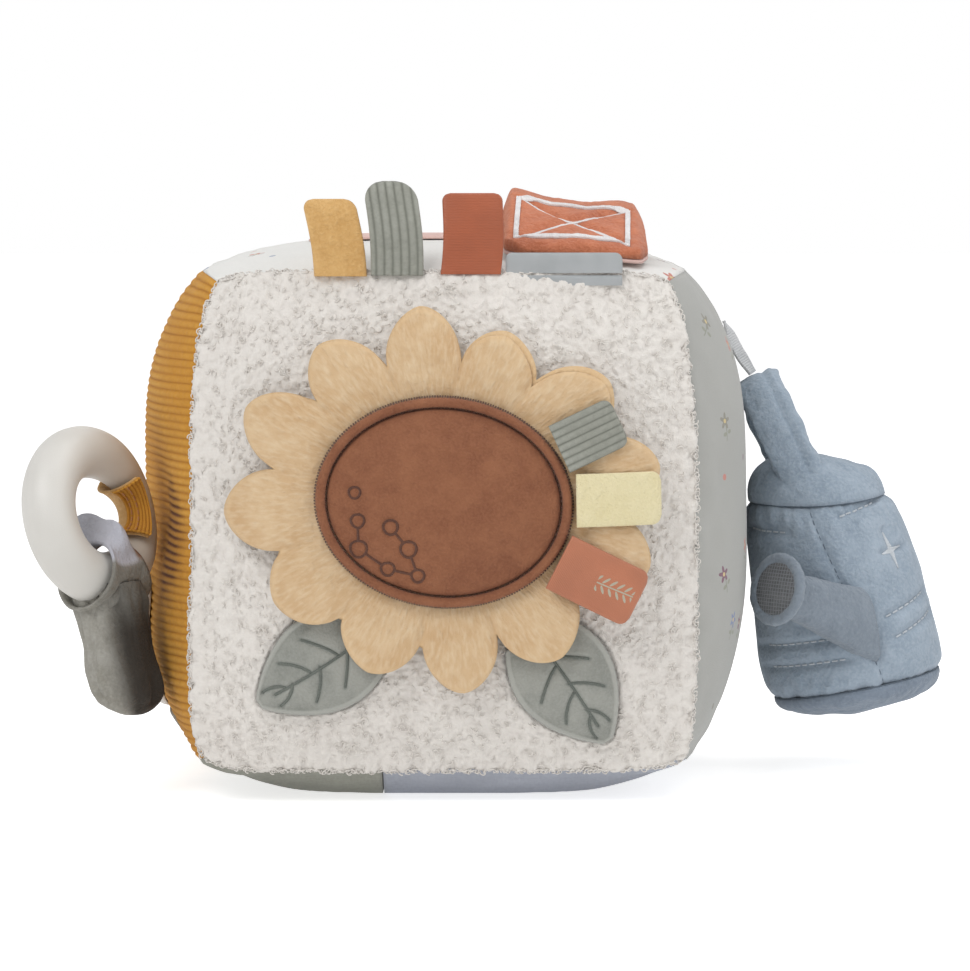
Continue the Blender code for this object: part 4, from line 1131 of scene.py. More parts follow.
pad = finish(
    "flower_centre_minky", disc(200, 76), centre_cover, MINKY, "block",
    ["flower_centre_cover", "flower_centre_wadding"],
)


def rolled_rim(unit):
    """The rim's roll: the unit tube lies one unit out, and half a unit in radius."""
    radius, angle, height = polar(unit)
    across = (radius - 1) * 2
    up = height * 2
    middle = egg_outline(angle) - RIM_WIDTH / 2
    distance = middle + across * RIM_WIDTH / 2
    ripple = 0.12 * MM * np.sin(angle * 150) * np.maximum(across, 0)
    seat = petal_top(distance, angle) + GAP
    return over_flower(distance + ripple, angle, seat + 3.4 * MM * (up + 1) / 2)


def ring_profile(steps):
    turns = [math.tau * step / steps for step in range(steps)]
    return [(1 + 0.5 * math.cos(turn), 0.5 * math.sin(turn)) for turn in turns]


finish(
    "flower_centre_roll", spun(ring_profile(16), 360, closed=True), rolled_rim, MINKY, "block",
    ["flower_centre_rim"],
)

# %% Sew the centre
turns = np.linspace(0, math.tau, 260, endpoint=False)


def over_centre(a, b, lift):
    """Places on the pad's pile, from two coordinates of the front."""
    distance, angle = flower_polar(a, b)
    height = petal_top(distance, angle) + GAP + centre_height(distance, angle) + lift
    return over_flower(distance, angle, height)


def edge_stitch(turn, inward, outward, low, high):
    """One short stitch across an edge of the rim."""
    angle = np.full(4, turn) + np.array([0, 0, 0.01, 0.01])
    distance = egg_outline(angle) + np.linspace(inward, outward, 4)
    lift = petal_top(distance, angle) + GAP + np.linspace(high, low, 4)
    return over_flower(distance, angle, lift)


whip = [edge_stitch(turn, -0.9 * MM, 0.35 * MM, 0.15 * MM, 2.9 * MM) for turn in turns]
thread("centre_edge_stitches", whip, 0.24 * MM, DARK_THREAD, "block", 1)
groove = egg_outline(turns) - RIM_WIDTH - GAP / 2
level = petal_top(groove, turns) + GAP + 2.0 * MM
line = over_flower(groove, turns, level)
rows = stitches(np.vstack([line, line[:1]]), 1.3 * MM, 0.15 * MM, (0, -1, 0), 0.06 * MM)
thread("centre_groove_stitches", rows, 0.15 * MM, DARK_THREAD, "block", 1)
seeds = []
for middle, radius in zip(SEED_PLACES, SEED_RADII):
    round_turns = np.linspace(0, math.tau, 25)
    wobble = radius * (1 + 0.05 * np.sin(3 * round_turns))
    seeds.append(over_centre(middle[0] + wobble * np.cos(round_turns), middle[1] + wobble * np.sin(round_turns), 0))
for first, second in SEED_LINKS:
    start, end = seed_link(first, second)
    share = np.linspace(0, 1, 6)[:, None]
    link = start + (end - start) * share
    seeds.append(over_centre(link[:, 0], link[:, 1], 0))
thread("seed_embroidery", seeds, 0.40 * MM, DARK_THREAD, "block", 2)

# %% [markdown]
# ## Tags under the flower centre
# Three folded tags stick out at the right: sage corduroy with lengthwise ribs, smooth cream velour
# and rust satin ribbon. Each is a flat loop of cloth with rounded corners, a little thicker in its
# middle than along its edges. On the satin a plain sprig is printed.


# %% Shape a tag
def tag_flat(unit, length, width, thickness, corner):
    """Place along, place across and height of a tag's points, with soft edges."""
    along = length * (unit[:, 0] + 1) / 2
    from_end = np.maximum(0, corner - (length - along))
    narrow = corner - np.sqrt(np.maximum(corner * corner - from_end * from_end, 0))
    half = width / 2 - narrow
    across = unit[:, 1] * half
    from_edge = np.minimum(half - np.abs(across), length - along)
    thick = thickness * (0.45 + 0.55 * rolled(from_edge, 0.9 * thickness))
    return along, across, thick * (unit[:, 2] - 0.5)


def ribbed(across, pitch):
    return np.abs(np.cos(np.pi * across / pitch)) ** 0.7


# As on the ochre corduroy, the first colour is painted shade for the grooves and the last a painted highlight on the
# rib crests.
SAGE_CORDUROY = corduroy_paint(
    "sage_corduroy_ribs", (0.15, 0.155, 0.13), (0.29, 0.295, 0.255), (0.385, 0.39, 0.35)
)
CREAM_VELOUR = plush_paint(
    "cream_velour_pile", (0.69, 0.605, 0.348), (0.749, 0.669, 0.423), (0.824, 0.754, 0.535), 1600.0, 0.25
)


def satin_paint(name, tone, sprig=False):
    """Woven ribbon: a fine cross rib and a soft shine. A small sprig can be printed on it."""
    paint = Paint(name, 0.42, sheen=0.1)
    run = paint.part("along")
    side = paint.part("across")
    rib = (run * 15000).step("SINE")
    cloud = paint.ramp(paint.noise(90, 2), 0.3, 0.7)
    shade = paint.mix(cloud, tuple(value * 0.9 for value in tone), tuple(value * 1.08 for value in tone))
    if sprig:
        shade = paint.mix(sprig_mask(paint, run, side) * 0.9, shade, (0.40, 0.40, 0.31))
    paint.colour(shade)
    paint.rough(paint.ramp(paint.noise(400, 2), 0.2, 0.8) * 0.15 + 0.38)
    paint.relief((rib * 0.5 + 0.5, 0.00006))
    return paint


def sprig_mask(paint, run, side):
    """1 inside a stem with five pairs of leaves, drawn with a repeated cell along the tag."""
    step = 0.0021
    x = run - 0.0165
    bend = side - (x * 160).step("SINE") * 0.0004
    inside = (x.step("ABSOLUTE") < 0.0052) * 1.0
    stem = (bend.step("ABSOLUTE") < 0.00018) * inside
    cell = paint.node("ShaderNodeMath", {"operation": "FLOORED_MODULO"}, {0: x, 1: step})
    away = bend.step("ABSOLUTE")
    leaf_x = cell - 0.0011 - (away - 0.0012) * 0.7
    leaf_y = away - 0.0013
    leaf = (leaf_x * leaf_x * 5.5 + leaf_y * leaf_y) < 0.00000095
    return stem.step("MAXIMUM", leaf * inside)


RUST_SATIN = satin_paint("rust_satin_sprig", (0.423, 0.148, 0.073), sprig=True)
FLOWER_TAGS = {
    "flower_tag_sage": (25, 17.5, 13.5, SAGE_CORDUROY, "sage_corduroy", 1.95),
    "flower_tag_cream": (1, 22.5, 14.0, CREAM_VELOUR, "cream_velour", 0),
    "flower_tag_rust": (-27, 23.5, 15.5, RUST_SATIN, "rust_satin", 0),
}
TAG_THICKNESS = 1.6 * MM

# %% Make the flower's tags
for name, (turn, length, width, paint, slot, pitch) in FLOWER_TAGS.items():
    angle = math.radians(turn)
    length, width = length * MM, width * MM
    along_way = np.array([math.cos(angle), math.sin(angle)])
    across_way = np.array([-along_way[1], along_way[0]])
    spread = angle + np.array([-0.2, 0, 0.2])
    root = (egg_outline(spread) * np.cos(spread - angle)).max() + GAP + TAG_THICKNESS / 2
    spots = [(root + length * share, angle + side * math.atan2(width / 2, root)) for share in (0, 0.3, 0.7, 1) for side in (-1, 0, 1)]
    highest = petal_top(*np.array(spots).T).max()
    lift = highest + GAP + TAG_THICKNESS / 2

    def flower_tag(
        unit, root=root, length=length, width=width, lift=lift, pitch=pitch, ways=(along_way, across_way)
    ):
        along, across, height = tag_flat(unit, length, width, TAG_THICKNESS, 2.6 * MM)
        rib = ribbed(across, pitch * MM) if pitch else np.ones(len(across))
        height = height + (rib - 1) * 0.3 * MM * np.sign(unit[:, 2] - 0.5)
        curl = 0.5 * MM * (along / length) ** 2 * np.cos(across / width * 3)
        flat = np.outer(root + along, ways[0]) + np.outer(across, ways[1])
        points = on_face("front", FLOWER_X + flat[:, 0], FLOWER_Z + flat[:, 1], lift + height + curl)
        return points, {"rib": rib, "along": along, "across": across}

    tag = finish(
        name + "_cloth", slab(44, 84), flower_tag, paint, name.replace("flower_tag", "tag_flower"), [name],
    )

# %% [markdown]
# ## Leaves
# Each leaf is two layers of sage velour, sewn together and turned. A piped border runs round it,
# and its veins are dark embroidery that pulls the cloth in, with painted shade in the sunk cloth
# along them.

# %% Paint and make the leaves
LEAF_LAYER = 0.8 * MM
VEIN_BRANCHES = (
    (0.22, 1, 0.62), (0.30, -1, 0.66), (0.46, 1, 0.66), (0.54, -1, 0.64), (0.70, 1, 0.56), (0.76, -1, 0.5)
)


def leaf_paint():
    paint = Paint("sage_leaf_velour", 0.75, sheen=0.3)
    border = paint.ramp(paint.part("border"), 0.25, 0.75)
    sunk = paint.ramp(paint.part("vein"), 0.1, 0.9)
    cloud = paint.ramp(paint.noise(120, 3), 0.35, 0.65)
    nap = paint.noise(1500, 3)
    base = paint.mix(cloud, (0.21, 0.217, 0.192), (0.288, 0.292, 0.262))
    base = paint.mix(border * 0.75, base, (0.37, 0.372, 0.34))
    # Painted shade in the sunk cloth along the veins.
    base = paint.mix(sunk * 0.5, base, (0.15, 0.17, 0.15))
    paint.colour(paint.mix(paint.ramp(nap, 0.4, 0.75) * 0.2, base, (0.45, 0.46, 0.43)))
    paint.relief((nap, 0.00025))
    return paint


LEAF_VELOUR = leaf_paint()
VEIN_THREAD = plush_paint(
    "dark_sage_thread", (0.10, 0.115, 0.10), (0.14, 0.155, 0.135), (0.2, 0.215, 0.19), 2500.0
)


def leaf_veins():
    """Lines of the veins on a leaf, as shares along it and metres across."""
    middle = np.stack([np.linspace(0.04, 0.86, 14), 0.5 * MM * np.sin(np.linspace(0, 3, 14))], 1)
    lines = [middle]
    for start, side, spread in VEIN_BRANCHES:
        run = np.linspace(0, 1, 7)
        share = start + 0.17 * run
        across = side * run**0.8 * leaf_half_width(share) * spread
        lines.append(np.stack([share, across], 1))
    return lines


def vein_distance(share, across):
    paths = [path * np.array([LEAF_LENGTH, 1.0]) for path in leaf_veins()]
    lines = [line for path in paths for line in zip(path, path[1:])]
    return line_distance(np.stack([share * LEAF_LENGTH, across], -1), lines)


def leaf_lift(share, across):
    """Height of a leaf's outer face: a piped border, a soft belly and sunk veins."""
    half = leaf_half_width(share)
    from_edge = np.minimum(half - np.abs(across), (1.02 - share) * LEAF_LENGTH)
    border = hill(from_edge - 0.8 * MM, 0.75 * MM)
    sunk = hill(vein_distance(share, across), 0.7 * MM)
    belly = 0.7 * MM * smooth_step((from_edge - 1.4 * MM) / (3 * MM))
    clear = smooth_step((share - 0.15) / 0.35)
    swell = (0.55 * MM * border + belly) * clear - 0.5 * MM * sunk
    return 2 * GAP + 2 * LEAF_LAYER + swell, border, sunk


def leaf_place(name, share, across, lift):
    root, turn = LEAVES[name]
    along = np.array([math.cos(turn), math.sin(turn)])
    flat = root + np.outer(share * LEAF_LENGTH, along) + np.outer(across, [-along[1], along[0]])
    return on_face("front", flat[:, 0], flat[:, 1], lift)


for name in LEAVES:

    def leaf_back(unit, name=name):
        share = (unit[:, 0] + 1) / 2
        across = unit[:, 1] * leaf_half_width(share)
        return leaf_place(name, share, across, GAP + unit[:, 2] * LEAF_LAYER), {"border": 0 * share, "vein": 0 * share}

    def leaf_front(unit, name=name):
        share = (unit[:, 0] + 1) / 2
        across = unit[:, 1] * leaf_half_width(share)
        high, border, sunk = leaf_lift(share, across)
        low = 2 * GAP + LEAF_LAYER
        lift = np.where(unit[:, 2] > 0.5, high, low)
        return leaf_place(name, share, across, lift), {"border": border, "vein": sunk}

    leaf = finish(
        name + "_back_cloth", slab(60, 24), leaf_back, LEAF_VELOUR, name, [name + "_back"]
    )
    leaf_area = 2 * LEAF_LENGTH * leaf_half_width(np.linspace(0, 1, 60)).mean()
    leaf = finish(
        name + "_front_cloth", slab(120, 70), leaf_front, LEAF_VELOUR, name, [name + "_front"]
    )
    veins = []
    for path in leaf_veins():
        fine = resample(np.column_stack([path * np.array([LEAF_LENGTH, 1.0]), np.zeros(len(path))]), 0.8 * MM)
        share, across = fine[:, 0] / LEAF_LENGTH, fine[:, 1]
        veins.append(leaf_place(name, share, across, leaf_lift(share, across)[0] + 0.05 * MM))
    thread(name + "_veins", veins, 0.38 * MM, VEIN_THREAD, name, 2)

# %% [markdown]
# ## Tags in the upper seam
# Four tags are caught in the seam between the fleece and the top: a plush loop, a corduroy loop, a
# satin loop and a woven label, which stays bare. The fleece's pile hides their sewn ends. Each
# bends a little, because a folded loop never stands quite flat.

# %% Make the seam tags
YELLOW_PLUSH = plush_paint(
    "yellow_plush_tag", (0.541, 0.302, 0.095), (0.657, 0.398, 0.148), (0.753, 0.498, 0.223), 1300.0
)
PLAIN_SATIN = satin_paint("rust_satin_plain", (0.358, 0.083, 0.027))


def label_paint():
    """Woven label: fine warp lines, a crossing weft and a faint woven border."""
    paint = Paint("grey_blue_label_weave", 0.55, sheen=0.1)
    run, side = paint.part("along"), paint.part("across")
    warp = (side * 21000).step("SINE")
    weft = (run * 15000).step("SINE")
    weave = warp * weft * 0.5 + 0.5
    cloud = paint.ramp(paint.noise(150, 2), 0.3, 0.7)
    base = paint.mix(cloud, (0.33, 0.35, 0.36), (0.405, 0.425, 0.435))
    base = paint.mix(paint.part("rib") * 0.3, base, (0.48, 0.50, 0.51))
    paint.colour(paint.mix(weave * 0.18, base, (0.26, 0.28, 0.30)))
    paint.relief((weave, 0.00008))
    return paint


LABEL_WEAVE = label_paint()
SEAM_TAGS = {
    "top_tag_yellow": (-27, 14, 20.5, 3.0, 3.0, -8, 1.9, 0, YELLOW_PLUSH, "tag_top_yellow", "yellow_plush"),
    "top_tag_sage": (-12, 14, 25, 2.8, 5.5, -4, 1.6, 2.2, SAGE_CORDUROY, "tag_top_sage", "sage_corduroy"),
    "top_tag_rust": (7.5, 16, 21.5, 1.4, 2.2, 2, 0.8, 0, PLAIN_SATIN, "tag_top_rust", "rust_satin"),
    "woven_label": (32.2, 31, 5.4, 0.9, 1.8, 0, 0.3, 0, LABEL_WEAVE, "label", "grey_blue_label"),
    "label_end": (32.2, 31, 2.7, 0.9, 0.2, 0, 3.6, 0, LABEL_WEAVE, "block", "grey_blue_label"),
}
SEAM_TAG_GAP = 0.7 * MM


def seam_hinge(x, width, thickness):
    """Where a tag's sewn end lies: just outside the seam, at the seam's highest point under it."""
    places = np.array([x - width / 2, x, x + width / 2])
    seam = on_face("front", places, np.full(3, CENTRE_HEIGHT + SEAM_HALF[2]))
    way = np.array([0, -1, 1]) / math.sqrt(2)
    roots = seam + (thickness / 2 + SEAM_TAG_GAP) * way
    best = roots[np.argmax(roots[:, 2] - roots[:, 1])]
    return np.array([x, best[1], best[2]])


for name, (x, width, height, thick, corner, lean, sunk, pitch, paint, body, slot) in SEAM_TAGS.items():
    sizes = [value * MM for value in (width, height, thick, corner, sunk, pitch)]
    hinge = seam_hinge(x * MM, sizes[0], sizes[2])

    def seam_tag(unit, hinge=hinge, sizes=sizes, lean=math.tan(math.radians(lean))):
        width, length, thickness, corner, sunk, pitch = sizes
        along, across, height = tag_flat(unit, length, width, thickness, corner)
        rib = ribbed(across, pitch) if pitch else rolled(
            np.minimum(width / 2 - np.abs(across), length - along), 1.0 * MM
        )
        if pitch:
            height = height + (rib - 1) * 0.35 * MM * np.sign(unit[:, 2] - 0.5)
        share = along / length
        bow = 0.07 * length * np.sin(math.pi * share * 0.9) + 0.3 * MM * np.sin(across / width * 5)
        forward = np.clip(thickness - MM, 0, 0.4 * MM)
        x = -across + lean * along + 0.02 * length * np.sin(4 * share)
        points = hinge + np.stack([x, -height - bow * share - forward, along - sunk], 1)
        return points, {"rib": rib, "along": along, "across": across}

    nodes = [name] if name != "label_end" else []
    tag = finish(name + "_cloth", slab(70, 70), seam_tag, paint, body, nodes)
    "label" not in name

# %% [markdown]
# ## Barn-door flap on a pink patch
# The flap is a flat pillow of rust plush on a pink cotton lining. A rectangle and a cross are sewn
# through it in thick white satin stitch. The stitching pulls the plush down, and the filling rises
# between the lines. It lies on a larger patch of the same pink cotton.

# %% Make the patch
PINK_COTTON = cloth_paint("pink_cotton_weave", (0.74, 0.52, 0.47), (0.62, 0.40, 0.36), 1900)
PATCH_MIDDLE = np.array([9.0, 12.0]) * MM
PATCH_HALF = np.array([47.0, 34.0]) * MM
PATCH_THICKNESS = 0.9 * MM
BOX_POWER = 7.0


def box_edge(angle, half_a, half_b):
    """Distance of a rounded rectangle's edge from its middle."""
    a, b = np.abs(np.cos(angle)) / half_a, np.abs(np.sin(angle)) / half_b
    return (a**BOX_POWER + b**BOX_POWER) ** (-1 / BOX_POWER)


def patch(unit):
    radius, angle, outer = polar(unit)
    distance = radius * box_edge(angle, *PATCH_HALF)
    a = PATCH_MIDDLE[0] + distance * np.cos(angle)
    b = PATCH_MIDDLE[1] + distance * np.sin(angle)
    from_edge = (1 - radius) * PATCH_HALF[1]
    seam = 0.25 * MM * hill(from_edge - 2.2 * MM, 0.5 * MM)
    lift = GAP + outer * (PATCH_THICKNESS * (0.5 + 0.5 * rolled(from_edge, 0.9 * MM)) - seam)
    return on_face("top", a, b, lift)


patch_piece = finish(
    "top_patch_cotton", disc(160, 40), patch, PINK_COTTON, "block", ["top_patch"]
)

# %% Shape the flap
FLAP_X = 35.5 * MM
FLAP_FRONT = -58.5 * MM
FLAP_DEPTH = 47.0 * MM
FLAP_HALF_WIDTH = 19.5 * MM
FLAP_SIZE = np.array([FLAP_HALF_WIDTH, FLAP_DEPTH])
FLAP_MIDDLE = FLAP_FRONT + FLAP_DEPTH / 2
FLAP_CORNERS = ((-0.82, 0.11), (0.72, 0.09), (0.76, 0.58), (-0.76, 0.60))
flap_ends = [on_face("top", np.array([FLAP_X]), np.array([y]))[0, 2] for y in (FLAP_FRONT, FLAP_MIDDLE, FLAP_FRONT + FLAP_DEPTH)]
flap_slope = (flap_ends[2] - flap_ends[0]) / FLAP_DEPTH
flap_bow = max(0, flap_ends[1] - (flap_ends[0] + flap_ends[2]) / 2)
flap_seat = PATCH_THICKNESS + 2 * GAP + 0.5 * MM


def flap_base(x, y):
    """Height of the flap's underside, which follows the crowned top and droops to the right."""
    share = (y - FLAP_MIDDLE) / (FLAP_DEPTH / 2)
    droop = TOP_CROWN * np.maximum(0, (x / SEAM_HALF[0]) ** CROWN_POWER - 0.1) * 0.75
    return flap_ends[0] + flap_slope * (y - FLAP_FRONT) + flap_bow * (1 - share * share) + flap_seat - droop


def flap_lines():
    """The sewn rectangle and cross, as places from -1 to 1 across and 0 to 1 back."""
    corners = [np.array(corner) for corner in FLAP_CORNERS]
    sides = [(corners[index], corners[(index + 1) % 4]) for index in range(4)]
    return sides, [(corners[0], corners[2]), (corners[1], corners[3])]


def flap_distance(u, w, lines):
    """Distance in metres of places on the flap from the nearest of some lines."""
    place = np.stack([u, w], -1) * FLAP_SIZE
    return line_distance(place, [(start * FLAP_SIZE, end * FLAP_SIZE) for start, end in lines])


def flap_height(u, w):
    """Height of the plush over the lining: it rises to the back and sinks at the stitches."""
    crest = 8.6 + 3.6 * hill(u + 0.85, 0.42) + 1.2 * hill(u - 0.8, 0.4)
    rise = smooth_step(w / 0.82) ** 0.85 * (1 - 0.55 * smooth_step((w - 0.82) / 0.18))
    sides, cross = flap_lines()
    sunk = 0.5 * hill(flap_distance(u, w, sides), 1.3 * MM)
    sunk = np.maximum(sunk, 1.5 * hill(flap_distance(u, w, cross), 1.6 * MM))
    from_side = np.minimum((1 - np.abs(u)) * FLAP_HALF_WIDTH, np.minimum(w, 1 - w) * FLAP_DEPTH)
    roll = rolled(from_side, 3.2 * MM)
    place = np.stack([u * FLAP_HALF_WIDTH, w * FLAP_DEPTH, 0 * u], 1)
    soft = 0.5 * lumps(place, 7 * MM, 6.0) + 0.14 * lumps(place, 1.5 * MM, 2.0)
    return (1.6 + (2.6 + (crest - 3.4) * rise - sunk + soft) * roll) * MM


def flap_place(unit, low_high):
    radius, angle, outer = polar(unit)
    edge = radius * box_edge(angle, FLAP_HALF_WIDTH, FLAP_DEPTH / 2)
    x, y = edge * np.cos(angle), FLAP_MIDDLE + edge * np.sin(angle)
    u, w = x / FLAP_HALF_WIDTH, (y - FLAP_FRONT) / FLAP_DEPTH
    height = low_high(u, w, outer)
    back = smooth_step((np.sin(angle) - 0.4) / 0.4)
    frill = 0.35 * MM * np.sin(26 * angle) * smooth_step((radius - 0.93) / 0.07) * (1 - back)
    frill = frill - 0.8 * MM * back * smooth_step((radius - 0.8) / 0.2)
    spread = 1 + frill / np.maximum(edge, 1 * MM)
    return np.stack(
        [FLAP_X + x * spread, FLAP_MIDDLE + (y - FLAP_MIDDLE) * spread, flap_base(FLAP_X + x, y) + height], 1
    )


def flap_plush(unit):
    return flap_place(unit, lambda u, w, outer: np.where(outer > 0.5, flap_height(u, w), 1.2 * MM))


def flap_lining(unit):
    return flap_place(
        unit, lambda u, w, outer: (0.9 * outer + 0.35 * (1 - outer) * smooth_step((w - 0.86) / 0.1)) * MM
    )


RUST_PLUSH = plush_paint(
    "rust_plush_pile", (0.41, 0.115, 0.050), (0.57, 0.185, 0.087), (0.66, 0.26, 0.14), 1300.0
)
WHITE_THREAD = plush_paint(
    "white_satin_thread", (0.78, 0.75, 0.75), (0.88, 0.86, 0.86), (0.93, 0.92, 0.92), 3000.0, 0.5
)
flap = finish(
    "barn_flap_plush", disc(220, 64), flap_plush, RUST_PLUSH, "barn_flap",
    ["barn_flap_cover", "barn_flap_wadding"],
)
lining = finish(
    "barn_flap_cotton", disc(160, 14), flap_lining, PINK_COTTON, "barn_flap", ["barn_flap_lining"],
)


# %% Sew the flap
def satin_rows(start, end, width, lift):
    """Satin stitch: many short threads laid side by side across a line, each along the plush."""
    run = (end - start) * FLAP_SIZE
    side = np.array([-run[1], run[0]]) / np.linalg.norm(run) * width / 2
    across = np.linspace(-1, 1, 5)
    rows = []
    for share in np.linspace(0, 1, max(3, round(np.linalg.norm(run) / (0.42 * MM)))):
        u, w = ((start * FLAP_SIZE + run * share + across[:, None] * side) / FLAP_SIZE).T
        x, y = FLAP_X + u * FLAP_HALF_WIDTH, FLAP_FRONT + w * FLAP_DEPTH
        high = flap_height(u, w) + (lift + 0.18 * (1 - across**2)) * MM
        rows.append(np.stack([x, y, flap_base(x, y) + high], 1))
    return rows


frame_lines, cross_lines = flap_lines()
rows = []
for index, (start, end) in enumerate(frame_lines):
    wide = (2.2, 1.3, 2.2, 1.3)[index]
    rows.extend(satin_rows(start, end, wide * MM, 0.3))
thread("flap_frame_stitches", rows, 0.3 * MM, WHITE_THREAD, "barn_flap", 1)
rows = []
for start, end in cross_lines:
    rows.extend(satin_rows(start, end, 0.9 * MM, 0.1))
thread("flap_cross_stitches", rows, 0.24 * MM, WHITE_THREAD, "barn_flap", 1)

# %% [markdown]
# ## Teether ring and its loop
# The ring is moulded silicone: one fat round ring, slightly warm in colour, with a soft shine and a
# fine moulding line. Near the loop it carries a painted brown reflection of the ochre strap. A strap
# of ochre corduroy lined with yellow plush holds it to the side seam, with two lines of stitching
# along its edges.

# %% Place the ring
RING_RADIUS = 17.3 * MM
RING_TUBE = 7.2 * MM
RING_THINNING = 3.0 * MM
RING_THIN_REACH = math.radians(48)
RING_TURN = math.radians(56)
RING_LEAN = math.radians(14)
LOOP_CLEARANCE = 0.4 * MM
ring_side = np.array([math.cos(RING_TURN), math.sin(RING_TURN), 0])
ring_level = np.array([math.sin(RING_TURN), -math.cos(RING_TURN), 0])
ring_up = math.cos(RING_LEAN) * np.array([0, 0, 1]) - math.sin(RING_LEAN) * ring_level
ring_axis = np.cross(ring_side, ring_up)
panel_x = on_face("left", np.array([HOLLOW_Y]), np.array([HOLLOW_Z]))[0, 0]
ring_limb = np.array([panel_x - 2.4 * MM - RING_TUBE - LOOP_CLEARANCE, HOLLOW_Y, HOLLOW_Z])
ring_middle = ring_limb - ring_side * RING_RADIUS


def ring_points(along, around, distance):
    """Points by angle along the ring, angle round its tube and distance from the tube's line."""
    thin = RING_THINNING * hill(wrapped(along), RING_THIN_REACH)[:, None]
    outward = np.outer(np.cos(along), ring_side) + np.outer(np.sin(along), ring_up)
    tube_way = np.cos(around)[:, None] * outward + np.outer(np.sin(around), ring_axis)
    reach = np.asarray(distance).reshape(-1, 1) - thin
    return ring_middle + (RING_RADIUS + thin) * outward + reach * tube_way


def ring_paint():
    paint = Paint("cream_silicone_mould", 0.42, sheen=0.05)
    cloud = paint.ramp(paint.noise(55, 2), 0.3, 0.7)
    grain = paint.noise(3200, 2)
    # Painted reflection of the ochre strap: by the loop the ring turns brownish. The mesh calls this value inner.
    warm = paint.ramp(paint.part("inner"), 0.0, 1.0)
    base = paint.mix(cloud, (0.595, 0.578, 0.54), (0.645, 0.628, 0.595))
    paint.colour(paint.mix(warm * 0.45, base, (0.60, 0.46, 0.30)))
    paint.rough(paint.ramp(paint.noise(300, 3), 0.2, 0.8) * 0.14 + 0.36)
    paint.relief((grain, 0.00004), (paint.noise(40, 1), 0.0006))
    return paint


def ring_body(unit):
    radius, angle, height = polar(unit)
    around = np.arctan2(height, radius - 1)
    line = 0.1 * MM * hill(np.sin(around), 0.05)
    # Share of the strap's painted reflection, highest by the loop.
    strap_reflection = hill(wrapped(angle), 0.85)
    return ring_points(angle, around, RING_TUBE - line), {"inner": strap_reflection}


finish(
    "teether_ring_silicone", spun(ring_profile(56), 128, closed=True), ring_body, ring_paint(), "ring",
    ["teether_ring"],
)

# %% Make the two-layer loop
LOOP_REACH = math.radians(32)
LOOP_START = math.radians(56 + 60)
LOOP_END = math.radians(56 - 60) + math.tau
LOOP_LAYER = 1.2 * MM
LOOP_TURNED = math.radians(172)
LOOP_LAYERS = (
    ("loop_lining", RING_TUBE, LOOP_END, YELLOW_PLUSH, "yellow_plush"),
    ("loop_strap", RING_TUBE + LOOP_LAYER + GAP, LOOP_TURNED, OCHRE_CORDUROY, "ochre_corduroy"),
)


def flare(along, reach):
    return LOOP_CLEARANCE + 1.5 * MM * (along / reach) ** 2


for name, inside, end, paint, slot in LOOP_LAYERS:

    def loop(unit, inside=inside, end=end, ribs=name == "loop_strap"):
        along = unit[:, 0] * LOOP_REACH
        around = LOOP_START + (end - LOOP_START) * (unit[:, 1] + 1) / 2
        from_end = (end - around) * inside if ribs else LOOP_REACH * RING_RADIUS
        from_edge = np.minimum((1 - np.abs(unit[:, 0])) * LOOP_REACH * RING_RADIUS, from_end)
        thick = LOOP_LAYER * (0.45 + 0.55 * rolled(from_edge, 0.9 * MM))
        rib = ribbed(around * inside, 1.1 * MM) if ribs else np.ones(len(along))
        seam = 0.35 * MM * hill(from_edge - 1.6 * MM, 0.35 * MM)
        relief = unit[:, 2] * ((rib - 1) * 0.35 * MM - seam)
        distance = inside + flare(along, LOOP_REACH) + unit[:, 2] * thick + relief
        return ring_points(along, around, distance), {"rib": rib}

    cloth = finish(name + "_cloth", slab(70, 90), loop, paint, "block", [name])
    around = (end - LOOP_START) * (inside + LOOP_LAYER - RING_THINNING)
    around > 10 * MM

ORANGE_THREAD = plush_paint(
    "orange_thread", (0.42, 0.16, 0.05), (0.55, 0.24, 0.09), (0.66, 0.34, 0.15), 3000.0
)
rows = []
for turn, rise in ((LOOP_TURNED - 0.25, 0.0), (LOOP_TURNED - 0.5, 0.1)):
    along = np.linspace(-LOOP_REACH, LOOP_REACH, 60) * 0.92
    distance = RING_TUBE + 2 * LOOP_LAYER + GAP + flare(along, LOOP_REACH) - (0.1 - rise) * MM
    path = ring_points(along, np.full(60, turn), distance)
    rows.extend(stitches(path, 1.7 * MM, 0.3 * MM, (0, -1, 0), 0.1 * MM))
thread("loop_stitches", rows, 0.2 * MM, ORANGE_THREAD, "block", 1)

# %% [markdown]
# ## Velour toy on the ring
# A limp stuffed shape of sage velour hangs on the ring's lower limb. Its cloth is folded round the
# ring, with a lilac-grey lining that shows only where it faces the hole, and below that it hangs in
# long soft wrinkles down to a rounded end. A seam runs down its outer side. Painted shade darkens
# the side turned towards the block.


# %% Shape the toy
LILAC = (0.45, 0.455, 0.51)
BROWN_EDGE = (0.22, 0.12, 0.075)


def velour_paint(name, deep, fair, tip, dark):
    """Velour: its colour changes with the lie of the pile, and painted shade darkens it by its nap value."""
    paint = plush_paint(name, deep, fair, tip, 1100.0, 0.35, 0.03)
    # Painted shade: the nap value mixes in the dark colour on the side turned towards the block.
    shaded = paint.mix(paint.part("nap"), paint.last_colour(), dark)
    shaded = paint.mix(paint.part("lilac"), shaded, LILAC)
    paint.colour(paint.mix(paint.part("seam"), shaded, BROWN_EDGE))
    return paint


